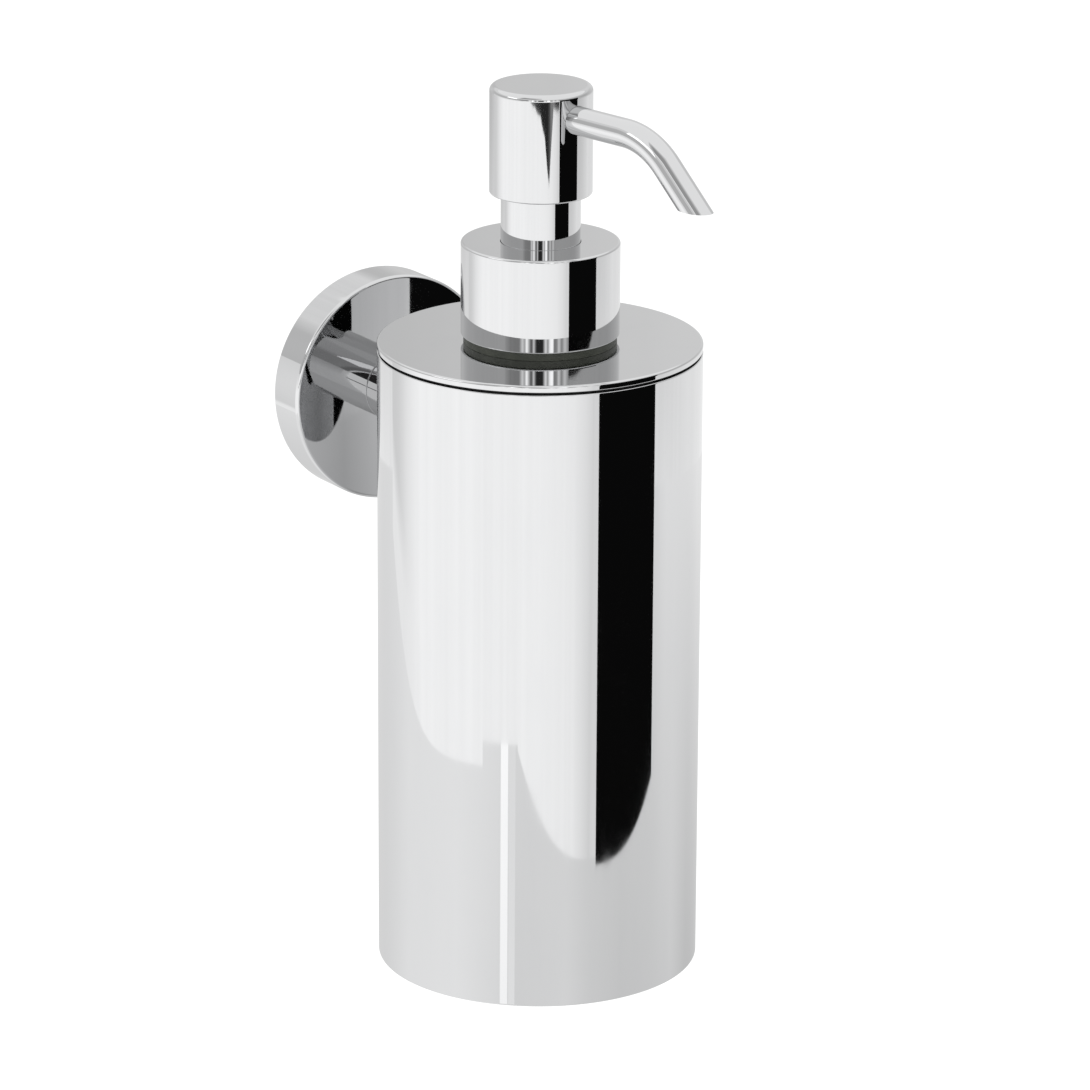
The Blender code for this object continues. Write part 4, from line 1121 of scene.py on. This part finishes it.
def lay_floor():
    """White floor to the horizon, and the shades and streaks on it that only the chrome shows."""
    near = [(-180, 0.62), (-150, 0.86), (-105, 1.14), (-60, 1.19), (-40, 1.12), (-28, 1.08), (-14, 0.98),
            (0, 1.00), (20, 1.03), (36, 0.93), (60, 0.86), (88, 0.88), (110, 0.92), (132, 0.74), (180, 0.62)]
    far = [(-180, 0.80), (-150, 0.95), (-105, 1.18), (-40, 1.20), (36, 0.95), (88, 1.02), (100, 1.14),
           (150, 1.05), (180, 0.80)]
    add_ground("floor", ALL_ROUND, [(0.001, 1.12), (5.0, 1.12)], FLOOR, True)
    add_ground("shaded_floor", ALL_ROUND, [(0.02, near), (0.42, near), (0.905, far)], FLOOR + MM)
    add_ground("light_streak", (-25.8, -20.6), [(0.30, 1.36), (0.65, 1.52)], TABLE)
    add_ground("soft_streak", (-20.0, -15.5), [(0.30, 1.20), (0.65, 1.12)], TABLE)


def hang_left_cloths():
    """White cloths to the left: a long one that swings away, and a narrow one nearer the camera."""
    low = [(-126, 1.18), (-112, 1.24), (-100, 1.29), (-90, 1.38), (-39, 1.37)]
    high = [(-126, 0.90), (-116, 0.97), (-106, 1.20), (-92, 1.38), (-39, 1.37)]
    rows = [(TABLE, low), (LID_TOP - 0.275, low), (LID_TOP - 0.255, high), (LID_TOP - 0.10, high)]
    rows.append((CLOTH_TOP, 0.98))
    add_cloth("left_cloth", (-39.0, -126.0), (0.628, 0.830), rows, 4.5)
    add_cloth("narrow_cloth", (-39.0, -14.0), (0.650, 0.650), [(TABLE, 1.35), (CLOTH_TOP, 1.35)])


def hang_front_cloths():
    """White cloth in front, its pale edge, and the black card beside it."""
    low = [(-14, 1.36), (10, 1.33), (24, 1.26), (36, 0.98)]
    high = [(-14, 1.36), (10, 1.34), (24, 1.30), (36, 1.20)]
    black = [(TABLE, 0.004), (LID_TOP + 0.16, 0.004)]
    add_cloth("front_cloth", (36.5, -14.0), (0.551, 0.645), [(TABLE, low), (CLOTH_TOP, high)], 2.6)
    add_cloth("pale_edge", (36.5, 41.0), (0.551, 0.551), [(TABLE, 1.02), (CLOTH_TOP, 1.02)])
    add_cloth("black_card", (41.0, 87.0), (0.545, 0.606), black, 2.6, 0.0)


def hang_far_cloths():
    """Cloths at the right and behind, darker towards the top."""
    middle = LID_TOP - 0.16
    low = [(87, 1.11), (110, 1.13), (150, 1.07), (180, 0.95)]
    high = [(87, 0.74), (100, 0.80), (125, 1.08), (150, 0.95), (180, 0.85)]
    rows = [(FLOOR, low), (middle, high), (CLOTH_TOP, 0.70)]
    add_cloth("right_cloth", (87.0, 180.0), (0.900, 0.900), rows)
    low = [(-180, 0.95), (-150, 1.10), (-124, 1.19)]
    high = [(-180, 0.62), (-150, 0.62), (-136, 0.76), (-124, 0.88)]
    rows = [(FLOOR, low), (middle, high), (CLOTH_TOP, 0.75)]
    add_cloth("rear_cloth", (-180.0, -124.0), (0.900, 0.900), rows)


def hang_grey_sheets():
    """Grey backdrop above the cloths, a barred window in front, a soft box and a card overhead."""
    backdrop = [(-180, 0.77), (-177, 0.70), (-168, 0.68), (-150, 0.82), (-128, 0.72), (-95, 0.66),
                (-60, 0.66), (0, 0.70), (60, 0.62), (110, 0.60), (145, 0.78), (168, 0.88), (176, 0.86),
                (180, 0.77)]
    ceiling = [(-180, 0.95), (-120, 0.98), (-60, 0.90), (0, 0.84), (60, 0.80), (120, 0.86), (180, 0.95)]
    rows = [(CLOTH_TOP, backdrop), (LID_TOP + 0.38, backdrop), (LID_TOP + 0.50, ceiling)]
    rows.append((LID_TOP + 0.66, ceiling))
    add_cloth("grey_sheet", ALL_ROUND, (1.000, 1.000), rows)
    bars = [(-52, 0.60), (-44, 0.40), (-30, 0.38), (-25, 1.30), (-22, 0.70), (-19, 2.10), (-16, 0.90),
            (-13, 0.20), (-11, 0.30), (-9, 1.30), (-7, 0.40), (-5, 0.04), (4, 0.04), (6, 0.70), (8, 1.50),
            (11, 0.50), (14, 1.90), (18, 2.20), (20, 0.40), (24, 0.50), (27, 1.20), (31, 0.45), (36, 1.10),
            (40, 0.60), (52, 0.64)]
    window = [(CLOTH_TOP, bars), (LID_TOP + 0.42, bars)]
    add_cloth("window", (-52.0, 52.0), (0.960, 0.960), window, ripple=0.3)
    soft_box = [(LID_TOP + 0.40, 2.3), (LID_TOP + 0.62, 2.3)]
    add_cloth("soft_box", (-84.0, -58.0), (0.960, 0.960), soft_box, ripple=0.0)
    overhead = [(-58, 0.80), (-50, 0.42), (-18, 0.46), (2, 0.95)]
    rows = [(0.42, 0.95), (0.60, overhead), (1.05, overhead)]
    add_ground("overhead_card", (-58.0, 2.0), rows, LID_TOP + 0.80)


def make_studio():
    """White floor and cloths all round, one black card to the right, grey sheets above them."""
    set_world(1.15)
    lay_floor()
    hang_left_cloths()
    hang_front_cloths()
    hang_far_cloths()
    hang_grey_sheets()
    add_flap()
    bpy.context.scene.view_settings.view_transform = "Standard"


make_pieces()
make_studio()
add_camera()
